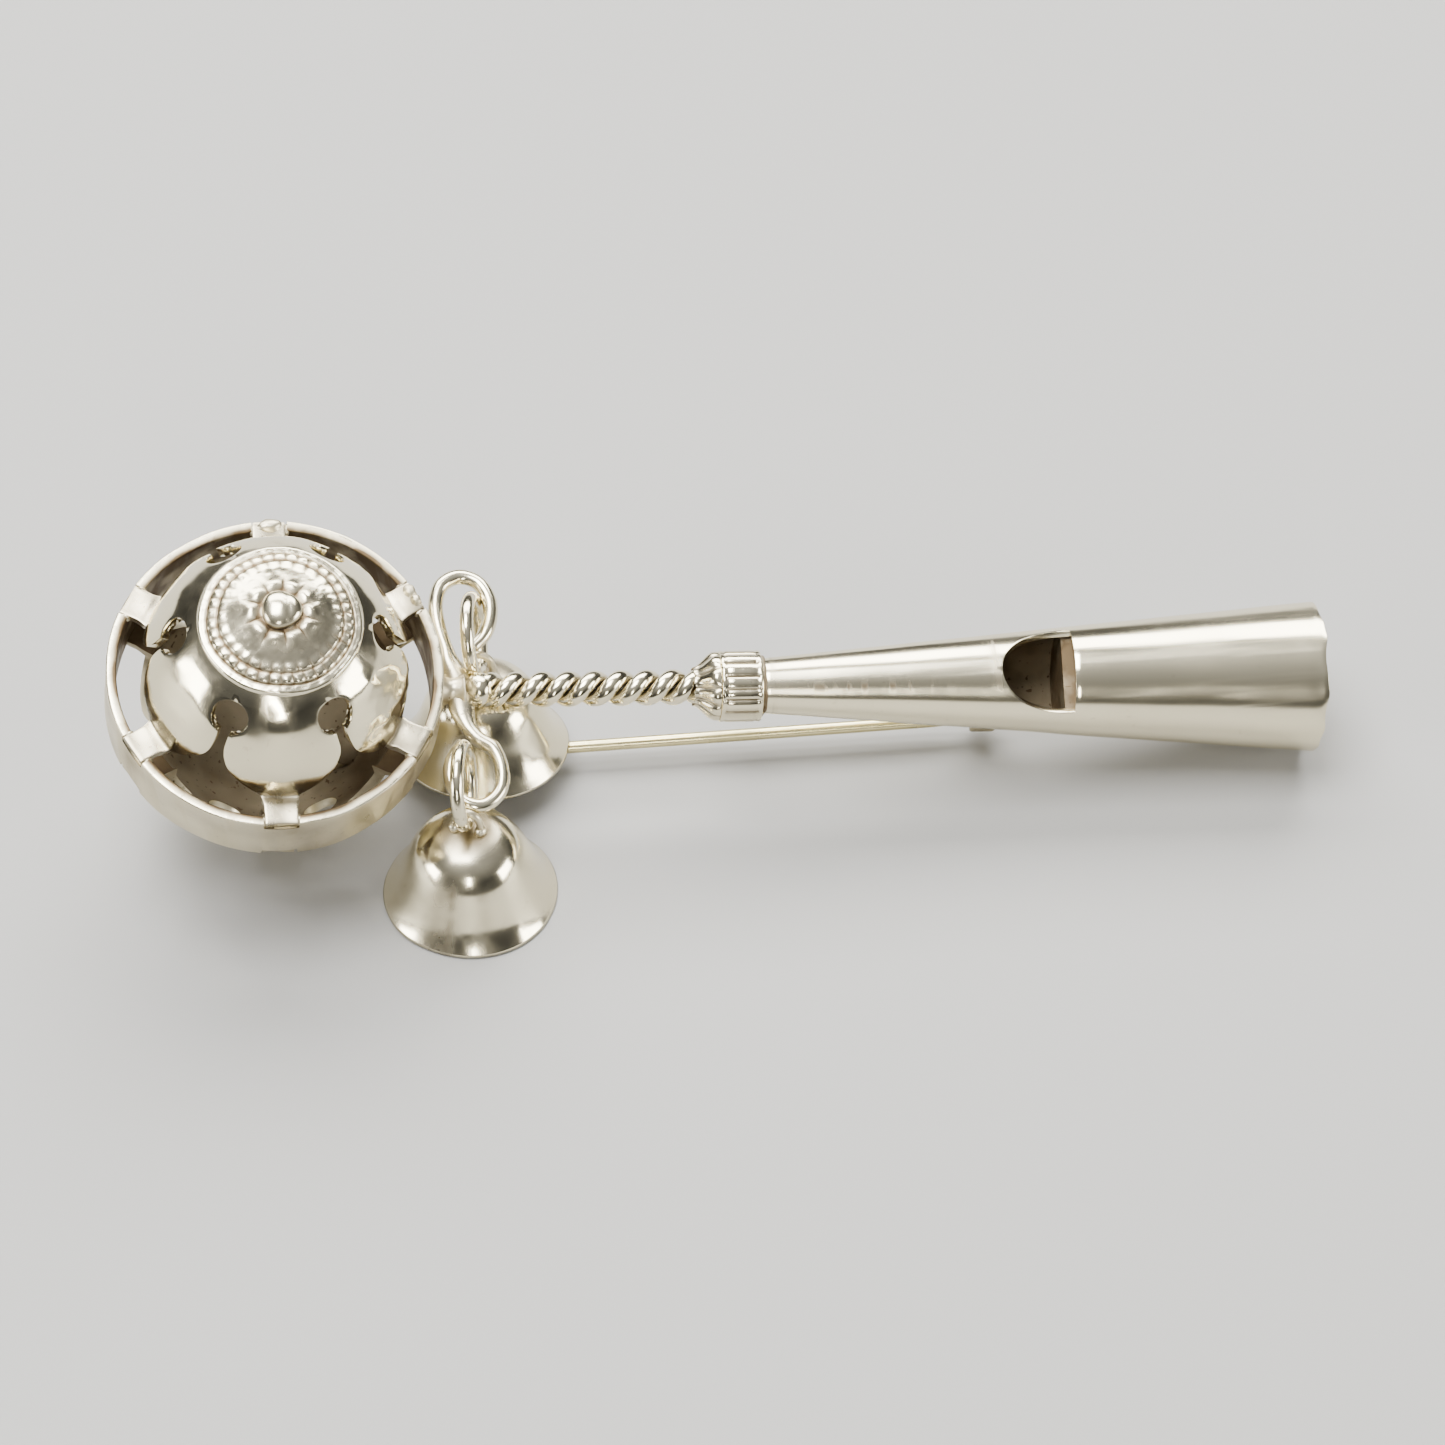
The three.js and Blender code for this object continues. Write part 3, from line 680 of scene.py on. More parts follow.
def petal_dome(flip, seed, lumps):
    """A half ball sawn into six petals with a tab at each foot. Each petal is a grid: rows run
    down from the crown and columns across between its edges, and the tab goes on outwards."""
    size = sizes()
    dome = size.dome_radius / MM
    reach = size.band_radius / MM - 0.12
    outline = petal_outline(dome)
    columns = np.linspace(-1, 1, 17)[None, :]
    shapes = []
    for tab in range(TAB_COUNT):
        middle = TAB_FIRST + tab * 360 / TAB_COUNT
        polar = np.radians(outline[:, :1]) + 0 * columns
        azimuth = np.radians(middle + outline[:, 1:] * columns)
        wide = dome * FULLER
        out_by = wide * np.sin(polar)
        ball = np.stack([out_by * np.cos(azimuth), out_by * np.sin(azimuth), dome * np.cos(polar)], axis=-1)
        # the tab: a strap that bends out of the petal's foot and runs to the hoop
        out = np.linspace(0, 1, 9)[:, None]
        foot = math.radians(outline[-1, 1])
        half = wide * math.sin(foot) * (1 - 0.16 * np.minimum(out * 3, 1))
        bend = np.minimum(out * 5, 1)
        radius = wide * math.cos(foot) + (reach - wide * math.cos(foot)) * out
        z = 0.08 * bend + 0 * out
        side = half * columns
        strip = np.stack([radius + 0 * columns, side, z + 0 * columns], axis=-1)
        points = np.concatenate([ball, strip[1:] @ turn_z(middle).T])
        shapes.append((points, grid_faces(len(points), columns.shape[1]), 0.0))
    points, faces, _ = joined(shapes)
    ragged = np.stack([ripple(points, 4.0, seed + k) for k in range(3)], axis=-1)
    height = points[:, 2:] / dome
    points = points + ragged * 0.07 * (1 - 0.6 * height)
    if lumps:
        # two petals near the handle are dented and crumpled
        for centre, spread in (((6.3, -3.2, 2.0), 2.6), ((5.9, 4.0, 2.4), 1.9)):
            near = np.exp(-np.sum((points - centre) ** 2, axis=1) / spread**2)
            outward = points / np.maximum(np.linalg.norm(points, axis=1, keepdims=True), 1e-6)
            points = points - outward * (near * (0.14 + 0.16 * ripple(points, 2.2, seed + 9)))[:, None]
    if flip:
        points = points * [1, -1, -1]
    return points, faces


def add_wall(made, thickness, edge=0.06):
    """A sheet's wall grows inwards from its outer face, which takes the second finish on its
    inner side, and its sawn edges are eased."""
    solid = made.modifiers.new("wall", "SOLIDIFY")
    solid.thickness = thickness * MM
    solid.offset = -1
    solid.use_even_offset = True
    solid.material_offset = 1
    ease = made.modifiers.new("eased edges", "BEVEL")
    ease.width = edge * MM
    ease.segments = 2
    ease.limit_method = "ANGLE"
    ease.angle_limit = math.radians(50)
    return made


def orient_outward(made, centre):
    """Turns every face of an open sheet to look away from a point."""
    mesh = made.data
    middle = Vector(place(np.array([centre]))[0])
    total = sum((p.center - middle).dot(p.normal) * p.area for p in mesh.polygons)
    if total < 0:
        mesh.flip_normals()


class RATTLE_OT_domes(bpy.types.Operator):
    """Saw the two half balls into petals"""

    bl_idname = "rattle.domes"
    bl_label = "Half balls"

    def execute(self, context):
        size = sizes()
        band_top = BAND_MIDDLE + size.band_height / MM / 2
        for name, flip, lift, finish, slot, lumps in (
            ("front_ball", False, band_top - DOME_SEAT, "polished", "polished_silver", True),
            ("back_ball", True, 2 * BAND_MIDDLE - band_top + DOME_SEAT, "dull", "worn_silver", False),
        ):
            points, faces = petal_dome(flip, 3 if flip else 11, lumps)
            points = points + [0, 0, lift]
            marks = 0.5 * np.exp(-(((points[:, 2] - lift) * (-1 if flip else 1)) / 0.8) ** 2)
            made = make_mesh(name, points, faces, flip=False, marks=marks)
            orient_outward(made, (0, 0, lift))
            add_wall(made, size.dome_wall / MM)
            stands_for = "rear_dome" if flip else "front_dome"
            finish_piece(made, finish, "brooch", slot, stands_for, inner="inside")
        return {"FINISHED"}


class RATTLE_OT_hoop(bpy.types.Operator):
    """Turn the hoop, with a notch for each tab in its rims"""

    bl_idname = "rattle.hoop"
    bl_label = "Hoop"

    def execute(self, context):
        size = sizes()
        outer, height = size.band_radius / MM, size.band_height / MM
        inner = outer - HOOP_WALL
        top, bottom = BAND_MIDDLE + height / 2, BAND_MIDDLE - height / 2
        corners = [(inner, bottom), (outer, bottom), (outer, top), (inner, top)]
        profile = rounded_profile(corners, 0.13, 5)
        fine = []
        for spot, after in zip(profile, np.roll(profile, -1, axis=0)):
            count = 8 if np.linalg.norm(after - spot) > 1.5 else 1
            fine += [spot + (after - spot) * t for t in np.linspace(0, 1, count, endpoint=False)]
        profile = np.array(fine)
        # columns crowd at the notches' cheeks
        half = math.degrees(NOTCH_HALF / outer)
        local = np.concatenate([
            np.linspace(-30, -half - 1.5, 14), np.linspace(-half - NOTCH_CHEEK, -half, 4),
            np.linspace(-half + 0.5, half - 0.5, 8), np.linspace(half, half + NOTCH_CHEEK, 4),
            np.linspace(half + 1.5, 30, 14),
        ])[:-1]
        angle = np.concatenate([TAB_FIRST + 60 * k + local for k in range(TAB_COUNT)])
        off = np.abs((angle - TAB_FIRST + 30) % 60 - 30)
        notch = 1 - smooth_step(off, half, half + NOTCH_CHEEK)
        radius, level = profile[:, :1] + 0 * angle, profile[:, 1:] + 0 * angle
        depth = NOTCH_DEPTH * notch[None]
        share = np.clip(np.abs(level - BAND_MIDDLE) / (height / 2), 0, 1) ** 6
        level = level - np.sign(level - BAND_MIDDLE) * depth * share
        turn = np.radians(angle)[None]
        points = np.stack([radius * np.cos(turn), radius * np.sin(turn), level], axis=-1)
        outward = points * [1, 1, 0] / radius[..., None]
        points = points + outward * (0.05 * ripple(points, 9.0, 5))[..., None]
        points[..., 2] += 0.035 * ripple(points, 7.0, 6)
        inside = (radius < outer - HOOP_WALL / 2).astype(float)
        beside = hump(off, 0, 7.0)[None]
        wall_side = (radius > outer - 0.05) * (0.34 + 0.16 * ripple(points, 6.0, 8))
        marks = inside * (0.9 + 0.3 * ripple(points, 3.0, 7)) + 0.1 * beside + wall_side
        made = make_mesh(
            "hoop", points, grid_faces(len(profile), len(angle), True, True), marks=marks, sharp=50
        )
        finish_piece(made, "brushed", "brooch", "polished_silver", "hoop_band")
        return {"FINISHED"}


def on_crown(radius, angle, lift):
    """Points above the ball's crown: at a distance from its axis, and lifted off its surface."""
    size = sizes()
    dome = size.dome_radius / MM
    base = BAND_MIDDLE + size.band_height / MM / 2 - DOME_SEAT
    z = base + np.sqrt(np.maximum(dome**2 - radius**2, 0))
    unit = np.stack([radius * np.cos(angle), radius * np.sin(angle), z - base], axis=-1) / dome
    return unit * (dome + lift)[..., None] * [FULLER, FULLER, 1] + [0, 0, base]


class RATTLE_OT_medallion(bpy.types.Operator):
    """Chase the beaded disc on the crown"""

    bl_idname = "rattle.medallion"
    bl_label = "Medallion"

    def execute(self, context):
        disc = sizes().medallion_radius / MM
        angle = once_round(560)[None]
        # rows: the face from the middle to the rim, over the rim, and back underneath
        share = np.concatenate([np.linspace(0, 0.72, 34), np.linspace(0.73, 0.985, 44)])[:, None]
        r = share * disc
        wobble = 0.03 * np.sin(3 * angle + 0.6) + 0.02 * np.sin(7 * angle)

        def ridge(at, width):
            """A hump in the face all round the disc."""
            return hump(r + wobble, at, width)

        bead_turn = 37 * angle + 0.7 * np.sin(2 * angle + 1)
        bead = np.abs(np.cos(bead_turn / 2)) ** 0.7
        scallop_turn = 29 * angle + 0.8 * np.sin(3 * angle)
        scallop = np.abs(np.sin(scallop_turn / 2)) ** 0.8
        slip = 0.85 + 0.3 * np.sin(5 * angle + 2)
        lift = 0.30 + 0 * r * angle
        lift = lift + 0.13 * ridge(disc - 0.16, 0.14)
        lift = lift + 0.10 * ridge(disc - 0.66, 0.20) * bead * slip
        lift = lift - 0.07 * ridge(disc - 0.46, 0.07)
        lift = lift + 0.07 * ridge(disc - 1.2, 0.22) * scallop * slip
        lift = lift - 0.06 * ridge(disc - 1.02, 0.08)
        lift = lift + 0.10 * (1 - smooth_step(r, 1.9, 2.9))
        lobe = np.abs(np.cos(5 * angle + 0.5 * np.sin(angle))) ** 0.6
        lift = lift + 0.15 * ridge(1.55, 0.36) * lobe
        lift = lift - 0.08 * ridge(1.1, 0.2)
        lift = lift + 0.012 * ripple(on_crown(r + 0 * angle, angle + 0 * r, lift), 0.9, 21)
        face = on_crown(r + 0 * angle, angle + 0 * r, lift)
        recess = (
            0.9 * ridge(disc - 0.72, 0.24) * (1 - bead)
            + 0.8 * ridge(disc - 0.46, 0.09)
            + 0.8 * ridge(disc - 1.27, 0.22) * (1 - scallop)
            + 0.7 * ridge(disc - 1.0, 0.12)
            + 0.9 * ridge(1.55, 0.5) * (1 - lobe)
            + 0.8 * ridge(1.12, 0.2)
        )
        edge_r = np.array([1.0, 1.0, 0.995, 0.6, 0.0])[:, None] * disc
        edge_lift = np.array([0.36, 0.16, 0.04, 0.04, 0.04])[:, None]
        edge = on_crown(edge_r + 0 * angle, angle + 0 * edge_r, edge_lift + 0 * angle)
        points = np.concatenate([face, edge])
        edge_marks = np.array([0.1, 0.7, 0.9, 0.9, 0.9])[:, None] + 0 * angle
        marks = np.concatenate([np.clip(recess, 0, 1), edge_marks])
        made = make_mesh(
            "medallion", points, grid_faces(len(points), angle.size, wrap_columns=True), marks=marks
        )
        finish_piece(made, "chased", "brooch", "polished_silver", "medallion_disc")

        # the rosette's heart: a round bump with a shallow crease
        angle = once_round(96)[None]
        share = np.linspace(0, 1, 20)[:, None]
        r = 1.05 * np.sin(share * math.pi / 2) * (1 + 0.05 * np.cos(3 * angle))
        lift = 0.36 + 0.62 * np.cos(share * math.pi / 2) ** 0.8 + 0 * angle
        lift = lift - 0.07 * hump(r * np.cos(angle), 0.35, 0.16) * (1 - share)
        top = on_crown(r, angle + 0 * r, lift)
        low = np.array([[0.9], [0.0]]) + 0 * angle
        under = on_crown(low, angle + 0 * low, 0.34 + 0 * low)
        points = np.concatenate([top, under])
        marks = np.concatenate([np.clip(share * 1.6 - 0.9, 0, 1) + 0 * angle, np.ones((2, angle.size))])
        faces = grid_faces(len(points), angle.size, wrap_columns=True)
        made = make_mesh("rosette_heart", points, faces, marks=marks)
        finish_piece(made, "chased", "brooch", "polished_silver", "medallion_boss")
        return {"FINISHED"}


class RATTLE_OT_solder(bpy.types.Operator):
    """Run solder round the tabs' feet and the joins of the handle"""

    bl_idname = "rattle.solder"
    bl_label = "Solder"

    def execute(self, context):
        size = sizes()
        band = size.band_radius / MM - 0.35
        top = BAND_MIDDLE + size.band_height / MM / 2
        drops = []
        for tab in range(TAB_COUNT):
            middle = TAB_FIRST + 60 * tab
            turn = turn_z(middle)
            for side in (-1, 1):
                centre = turn @ [band - 0.12, side * NOTCH_HALF, top - 0.28]
                drops.append((*blob(centre, (0.34, 0.17, 0.30), 40 + 2 * tab + side, axes=turn), 0.35))
        # the top tab's end swells over the rim, and the next is roughly run with solder
        for tab, along, reach in (
            (1, 0.0, (0.42, 0.72, 0.30)), (0, 0.35, (0.40, 0.5, 0.24)), (0, -0.3, (0.34, 0.42, 0.3))
        ):
            turn = turn_z(TAB_FIRST + 60 * tab)
            centre = turn @ [band + 0.02, along, top - 0.04]
            drops.append((*blob(centre, reach, 60 + tab, axes=turn, rough=0.16), 0.2))
        points, faces, marks = joined(drops)
        made = make_mesh("tab_solder", points, faces, marks=marks)
        finish_piece(made, "solder", "brooch", "polished_silver")
        return {"FINISHED"}


# ------------------------------------------------------------------ handle

S_LINE = np.array([
    (0.3, 2.8), (0.95, 3.5), (1.35, 4.6), (1.33, 5.8), (0.72, 6.88), (-0.35, 7.25), (-1.3, 6.75),
    (-1.72, 5.6), (-1.62, 3.9), (-1.15, 2.2), (-0.75, 0.9), (-0.6, -0.6), (-0.4, -2.0), (0.2, -3.0),
    (1.1, -3.7), (1.52, -5.0), (1.3, -6.4), (0.35, -7.22), (-0.7, -7.02), (-1.36, -6.0),
    (-1.43, -4.8), (-1.05, -3.8), (-0.75, -3.35),
])


class RATTLE_OT_s_wire(bpy.types.Operator):
    """Bend the S shaped wire that carries the rings"""

    bl_idname = "rattle.s_wire"
    bl_label = "S wire"

    def execute(self, context):
        knots = np.column_stack([S_LINE[:, 0] + S_WIRE_X, S_LINE[:, 1], 0 * S_LINE[:, 0]])
        path = smooth_path(knots, 260)
        share = np.linspace(0, 1, len(path))
        ends = np.minimum(share, 1 - share)
        radius = sizes().wire_radius / MM * (0.72 + 0.28 * smooth_step(ends, 0, 0.05))
        radius = radius * (1 + 0.012 * np.sin(share * 61) - 0.07 * smooth_step(-path[:, 1], 3.4, 4.4))
        points, faces = wire(path, radius, 24)
        # its middle is hammered into a strap and soldered down
        middle = hump(points[..., 1], 0, 2.1, 4)
        spine_x, spine_y = S_LINE[13:9:-1].T
        spine = np.interp(points[..., 1], spine_y, spine_x + S_WIRE_X)
        points[..., 0] = points[..., 0] + middle * 0.75 * (points[..., 0] - spine)
        near = np.pad(path[:, 1], CAP_ROWS, "edge")
        marks = (0.55 * hump(near, 0, 1.9) + 0.25 * hump(near, -3.3, 0.5))[:, None] + 0 * points[..., 0]
        made = make_mesh("s_wire_bent", points, faces, marks=marks)
        finish_piece(made, "drawn", "brooch", "polished_silver", "s_wire")
        return {"FINISHED"}


class RATTLE_OT_handle(bpy.types.Operator):
    """Twist the handle, and make its neck, crimped cup and fluted collar"""

    bl_idname = "rattle.handle"
    bl_label = "Twisted handle"

    def execute(self, context):
        # the twist: two round wires on a left-handed helix
        along = np.linspace(TWIST_START, TWIST_END, 260)
        for letter, phase in (("a", 0.0), ("b", math.pi)):
            turn = phase - TAU * (along - TWIST_PHASE) / TWIST_PITCH
            offset = STRAND_OFFSET - 0.2 * smooth_step(-along, -TWIST_START - 0.5, -TWIST_START)
            path = np.column_stack([along, offset * np.cos(turn), offset * np.sin(turn)])
            points, faces = wire(path, STRAND_RADIUS, 22)
            towards = np.linalg.norm(points[..., 1:], axis=-1)
            marks = np.clip(1 - (towards - 0.35) / 0.42, 0, 1)
            made = make_mesh(f"strand_{letter}", points, faces, marks=marks)
            finish_piece(made, "drawn", "brooch", "polished_silver", f"twist_strand_{letter}")

        # the neck between the hoop and the S, spread with solder
        share = np.linspace(0, 1, 18)
        radius = 1.02 - 0.28 * np.sin(share * math.pi) ** 0.8
        profile = [(0, 9.4)] + list(zip(radius, 9.5 + share * 1.35)) + [(0.3, 11.0), (0, 11.05)]
        shank = turned(profile, 40, "x")
        web = blob((10.9, -0.4, -0.15), (0.62, 1.5, 0.42), 34, 24, 32, rough=0.10)
        points, faces, _ = joined([shank, web])
        points = points + [0, 1, 1] * points * (0.05 * ripple(points, 1.8, 31)[:, None])
        made = make_mesh("neck", points, faces, marks=0.35 + 0.4 * ripple(points, 1.5, 32))
        finish_piece(made, "solder", "brooch", "worn_silver", "neck_block")

        # the bright knob that the twist grows from
        points, faces = blob((11.72, 0.0, 0.16), (0.78, 1.0, 0.95), 33, 28, 40, rough=0.04)
        made = make_mesh("twist_knob", points, faces, marks=0.35 * hump(points[..., 0], 11.0, 0.25))
        finish_piece(made, "drawn", "brooch", "polished_silver")

        # the cup: finger-like folds gathered round the twist, spreading to the collar
        angle = once_round(180)[None]
        share = np.linspace(0, 1, 26)[:, None]
        fold = np.abs(np.cos(5.5 * angle + 0.5 * np.sin(2 * angle))) ** 0.7
        spread = 1.13 + 0.86 * smooth_step(share, 0.0, 0.85)
        outer = spread * (1 - 0.13 * (1 - fold) * np.sin(np.pi * (0.12 + 0.75 * share)))
        x = CUP_START + (COLLAR_START - 0.02 - CUP_START) * share + 0.16 * (1 - fold) * (1 - share)
        skin = np.stack([x + 0 * angle, outer * np.cos(angle), outer * np.sin(angle)], axis=-1)
        bore_x = x[::-1][::5] + 0 * angle
        bore = CUP_BORE + 0 * bore_x
        back = np.stack([bore_x, bore * np.cos(angle), bore * np.sin(angle)], axis=-1)
        points = np.concatenate([skin, back])
        marks = np.concatenate([0.9 * (1 - fold) * (1 - 0.5 * share), np.ones((len(back), angle.size))])
        made = make_mesh(
            "crimped_cup_folds", points, grid_faces(len(points), angle.size, True, True), marks=marks
        )
        finish_piece(made, "drawn", "brooch", "polished_silver", "crimped_cup")

        # the collar: uneven flutes between thin bright rims
        angle = once_round(288)[None]
        wander = angle + 0.05 * np.sin(3 * angle) + 0.04 * np.sin(5 * angle + 1)
        flute = np.abs(np.sin(7.5 * wander)) ** 0.3
        # rows of (level along the collar, radius, how deeply fluted)
        level, radius, fluted = np.array([
            (0, 0, 0), (0, 1.94, 0), (0.06, 2.04, 0.1), (0.2, 2.05, 0.25), (0.30, 2.0, 0.9), (0.42, 2.05, 1),
            (0.8, 2.05, 1), (1.2, 2.05, 1), (1.6, 2.05, 1), (1.98, 2.05, 1), (2.10, 2.0, 0.9),
            (2.2, 2.05, 0.25), (2.34, 2.04, 0.1), (2.4, 1.94, 0), (2.4, 0, 0),
        ]).T[..., None]
        reach = radius - 0.24 * fluted * (1 - flute)
        x = COLLAR_START + level / COLLAR_DRAWN * (COLLAR_END - COLLAR_START) + 0 * angle
        points = np.stack([x, reach * np.cos(angle), reach * np.sin(angle)], axis=-1)
        marks = np.clip(fluted * (1 - flute) * 1.3, 0, 1)
        faces = grid_faces(len(level), angle.size, wrap_columns=True)
        made = make_mesh("collar_flutes", points, faces, marks=marks, sharp=60)
        finish_piece(made, "drawn", "brooch", "polished_silver", "fluted_collar")

        # a brown run of solder where the whistle meets the collar
        turn = once_round(90)
        joint = 27.98 + 0.03 * np.sin(3 * turn)
        path = np.column_stack([joint, 1.60 * np.cos(turn), 1.60 * np.sin(turn)])
        uneven = 1 + 0.15 * np.sin(5 * turn) + 0.1 * np.sin(11 * turn)
        points, faces = wire(path, 0.16 * uneven, 14, closed=True)
        made = make_mesh("collar_solder", points, faces, marks=0.75)
        finish_piece(made, "solder", "brooch", "worn_silver")
        return {"FINISHED"}


def whistle_radius(x):
    """The cone's outer radius, which grows evenly from the collar to the mouth."""
    size = sizes()
    small, large = size.whistle_small / MM, size.whistle_large / MM
    return small + (large - small) * (x - 28.1) / (WHISTLE_END - 28.1)


class RATTLE_OT_whistle(bpy.types.Operator):
    """Roll the whistle's cone with its D shaped window, and fit its plug"""

    bl_idname = "rattle.whistle"
    bl_label = "Whistle"

    def execute(self, context):
        columns = 96
        v = np.linspace(0, 1, columns)[None]
        shapes = []

        def rows(x, gap):
            """Rows of the cone at x whose open part spans the gap angle to each side of the top."""
            x, gap = x[:, None], gap[:, None]
            turn = gap + (TAU - 2 * gap) * v
            radius = whistle_radius(x) + 0 * turn
            return np.stack([x + 0 * turn, radius * np.cos(turn), radius * np.sin(turn)], axis=-1)

        x = np.linspace(WHISTLE_START, WINDOW_START, 40)
        whole = rows(x, 0 * x)
        end = whole[:1] * [1, 0, 0]
        shapes.append((np.concatenate([end, whole]), grid_faces(41, columns)))
        t = np.linspace(0, 1, 26) ** 2
        x = WINDOW_START + (WINDOW_END - WINDOW_START) * t
        across = WINDOW_HALF_WIDTH * np.sqrt(np.clip(1 - (1 - np.minimum(t / 0.86, 1)) ** 2, 0, 1))
        gap = np.arcsin(np.clip(across / whistle_radius(x), 0, 1))
        shapes.append((rows(x, gap), grid_faces(len(x), columns)))
        x = np.linspace(WINDOW_END, WHISTLE_END, 44)
        last = np.full(len(x), gap[-1])
        shapes.append((rows(x, last), grid_faces(len(x), columns)))
        turn = np.linspace(-gap[-1], gap[-1], 31)[None]
        radius = whistle_radius(x)[:, None]
        patch = np.stack([x[:, None] + 0 * turn, radius * np.cos(turn), radius * np.sin(turn)], axis=-1)
        shapes.append((patch, grid_faces(len(x), 31)))
        points, faces, _ = joined(shapes)
        flare = smooth_step(points[:, :1], WHISTLE_END - 1.2, WHISTLE_END)
        radial = points * [0, 1, 1]
        soft = ripple(points, 8.0, 51)[:, None] - 0.8
        worn = flare * (ripple(points, 2.5, 52)[:, None] - 0.8)
        points = points + radial * (0.007 * soft + 0.007 * worn)
        points[:, 0] += 0.13 * flare[:, 0] * (ripple(points, 3.0, 53) - 1.0)
        # the window looks up, a little to one side
        points = points @ turn_x(90).T @ turn_x(WINDOW_TURN).T
        x = points[:, 0]
        marks = 0.6 * hump(x, WHISTLE_START, 0.5) + 0.5 * hump(x, WINDOW_START, 0.5) * (points[:, 2] > 2.2)
        # a rubbed band along the upper front, before the window
        round_by = np.arctan2(-points[:, 1], points[:, 2]) - 0.52
        marks = marks + 0.8 * hump(x, 33.6, 4.4, 4) * hump(round_by, 0, 0.15)
        made = make_mesh("whistle_cone", points, faces, flip=False, marks=marks)
        orient_outward(made, (44, 0, 0))
        add_wall(made, WHISTLE_WALL, 0.05)
        finish_piece(made, "rubbed", "brooch", "polished_silver", "whistle_tube", inner="inside")

        # the plug: a block cut flat along its top for the windway, with a rounded lip
        x = np.concatenate([[PLUG_START], np.linspace(PLUG_START, PLUG_END, 24), [PLUG_END]])
        angle = once_round(96)[None]
        radius = (whistle_radius(x) - WHISTLE_WALL - 0.02)[:, None] + 0 * angle
        radius[0] = radius[-1] = 0
        flat = np.interp(x, [PLUG_START, PLUG_END], [1.45, 3.4])[:, None]
        up, across = radius * np.cos(angle), radius * np.sin(angle)
        up = np.minimum(up, flat)
        points = np.stack([x[:, None] + 0 * angle, up, across], axis=-1) @ turn_x(90 + WINDOW_TURN).T
        marks = np.interp(x, [PLUG_START, PLUG_START + 1, PLUG_END - 1, PLUG_END], [0.75, 0.9, 0.5, 0.3])
        marks = marks[:, None] + 0 * angle
        made = make_mesh(
            "plug", points, grid_faces(len(x), angle.size, wrap_columns=True), marks=marks, sharp=40
        )
        finish_piece(made, "dull", "brooch", "worn_silver", "whistle_plug")
        return {"FINISHED"}


# ------------------------------------------------------------------ rings and bells


RING_JOINT = 4.0  # where the soldered joint sits, in radians


class RATTLE_OT_rings(bpy.types.Operator):
    """Close the two loose rings"""

    bl_idname = "rattle.rings"
    bl_label = "Rings"

    def execute(self, context):
        size = sizes()
        for letter in "ab":
            centre, axes = ring_frame(letter)
            turn = once_round(120)
            swell = 1 + 0.012 * np.sin(2 * turn + 1)
            radius = size.ring_radius / MM * swell
            path = np.column_stack([radius * np.cos(turn), radius * np.sin(turn), 0 * turn])
            # the soldered joint shows as a faint waist
            gauge = size.ring_wire / MM * (1 - 0.10 * hump(turn, RING_JOINT, 0.05))
            points, faces = wire(path, gauge, 20, closed=True)
            marks = 0.6 * hump(turn, RING_JOINT, 0.07)[:, None] + 0 * points[..., 0]
            points = points @ axes.T + centre
            made = make_mesh(f"loose_ring_{letter}", points, faces, marks=marks)
            finish_piece(made, "drawn", f"link_{letter}", "polished_silver", f"ring_{letter}")
        return {"FINISHED"}


BELL_LINE = np.array([
    (1.0, 0.0), (0.925, 0.1), (0.85, 0.22), (0.775, 0.38), (0.705, 0.55), (0.63, 0.7),
    (0.53, 0.83), (0.38, 0.93), (0.2, 0.985), (0.0, 1.0),
])


BELL_WALL = 0.28
# streaks on a bell, partly stains and partly a painted reflection of the dark surroundings on the side that
# faces the front, as (place round it, width, depth)
BELL_STAINS_AND_PAINTED_REFLECTIONS = (
    (-1.75, 0.24, 0.40), (-1.60, 0.07, 0.40), (-1.1, 0.12, 0.2), (-2.6, 0.2, 0.16), (0.9, 0.3, 0.25)
)


def bell_wall(height, mouth, seed):
    """A bell: its line from mouth to crown turned about its axis, with a thin wall, a rolled lip
    and a few soft dents. The rim is pushed a little flat on one side."""
    knots = np.column_stack([BELL_LINE * [mouth, height], np.zeros(len(BELL_LINE))])
    outer = smooth_path(knots, 56)[:, :2]
    outer[-1, 0] = 0
    run = unit_rows(np.gradient(outer, axis=0))
    inner = outer + BELL_WALL * np.column_stack([-run[:, 1], run[:, 0]])
    inner[:, 0] = np.maximum(inner[:, 0], 0)
    inner[-1] = (0, height - BELL_WALL)
    inner[0] = (mouth - 0.30, 0.02)
    lip = np.array([(mouth - 0.24, 0), (mouth - 0.15, 0), (mouth - 0.05, 0)])
    profile = np.concatenate([inner[::-1], lip, outer])
    profile[:, 1] = np.maximum(profile[:, 1], 0)
    profile = profile[np.concatenate([[True], np.linalg.norm(np.diff(profile, axis=0), axis=1) > 1e-4])]
    points, faces = turned(profile, 128)
    radial = points * [1, 1, 0]
    low = 1 - smooth_step(points[..., 2:], 0, height * 0.9)
    angle = np.arctan2(points[..., 1], points[..., 0])
    flat = -0.018 * hump(angle, -1.6, 0.5)[..., None]
    points = points + radial * (0.006 * (ripple(points, 5.0, seed)[..., None] - 1) * low + flat * low)
    inside = (np.arange(len(profile)) < len(inner)).astype(float)[:, None]
    crown = hump(points[..., 2], height, 0.35)
    # dark streaks down the lower skirt: partly stains that have run down from the crown, partly a painted
    # reflection of the dark surroundings in front
    lower = 1 - smooth_step(points[..., 2], height * 0.6, height * 0.95)
    runs = sum(
        depth * hump((angle - at + math.pi) % TAU, math.pi, width) for at, width, depth in BELL_STAINS_AND_PAINTED_REFLECTIONS
    )
    runs = runs * lower * (0.8 + 0.4 * ripple(points, 2.0, seed + 5))
    return points, faces, np.clip(0.75 * inside + 0.75 * crown + runs, 0, 1)


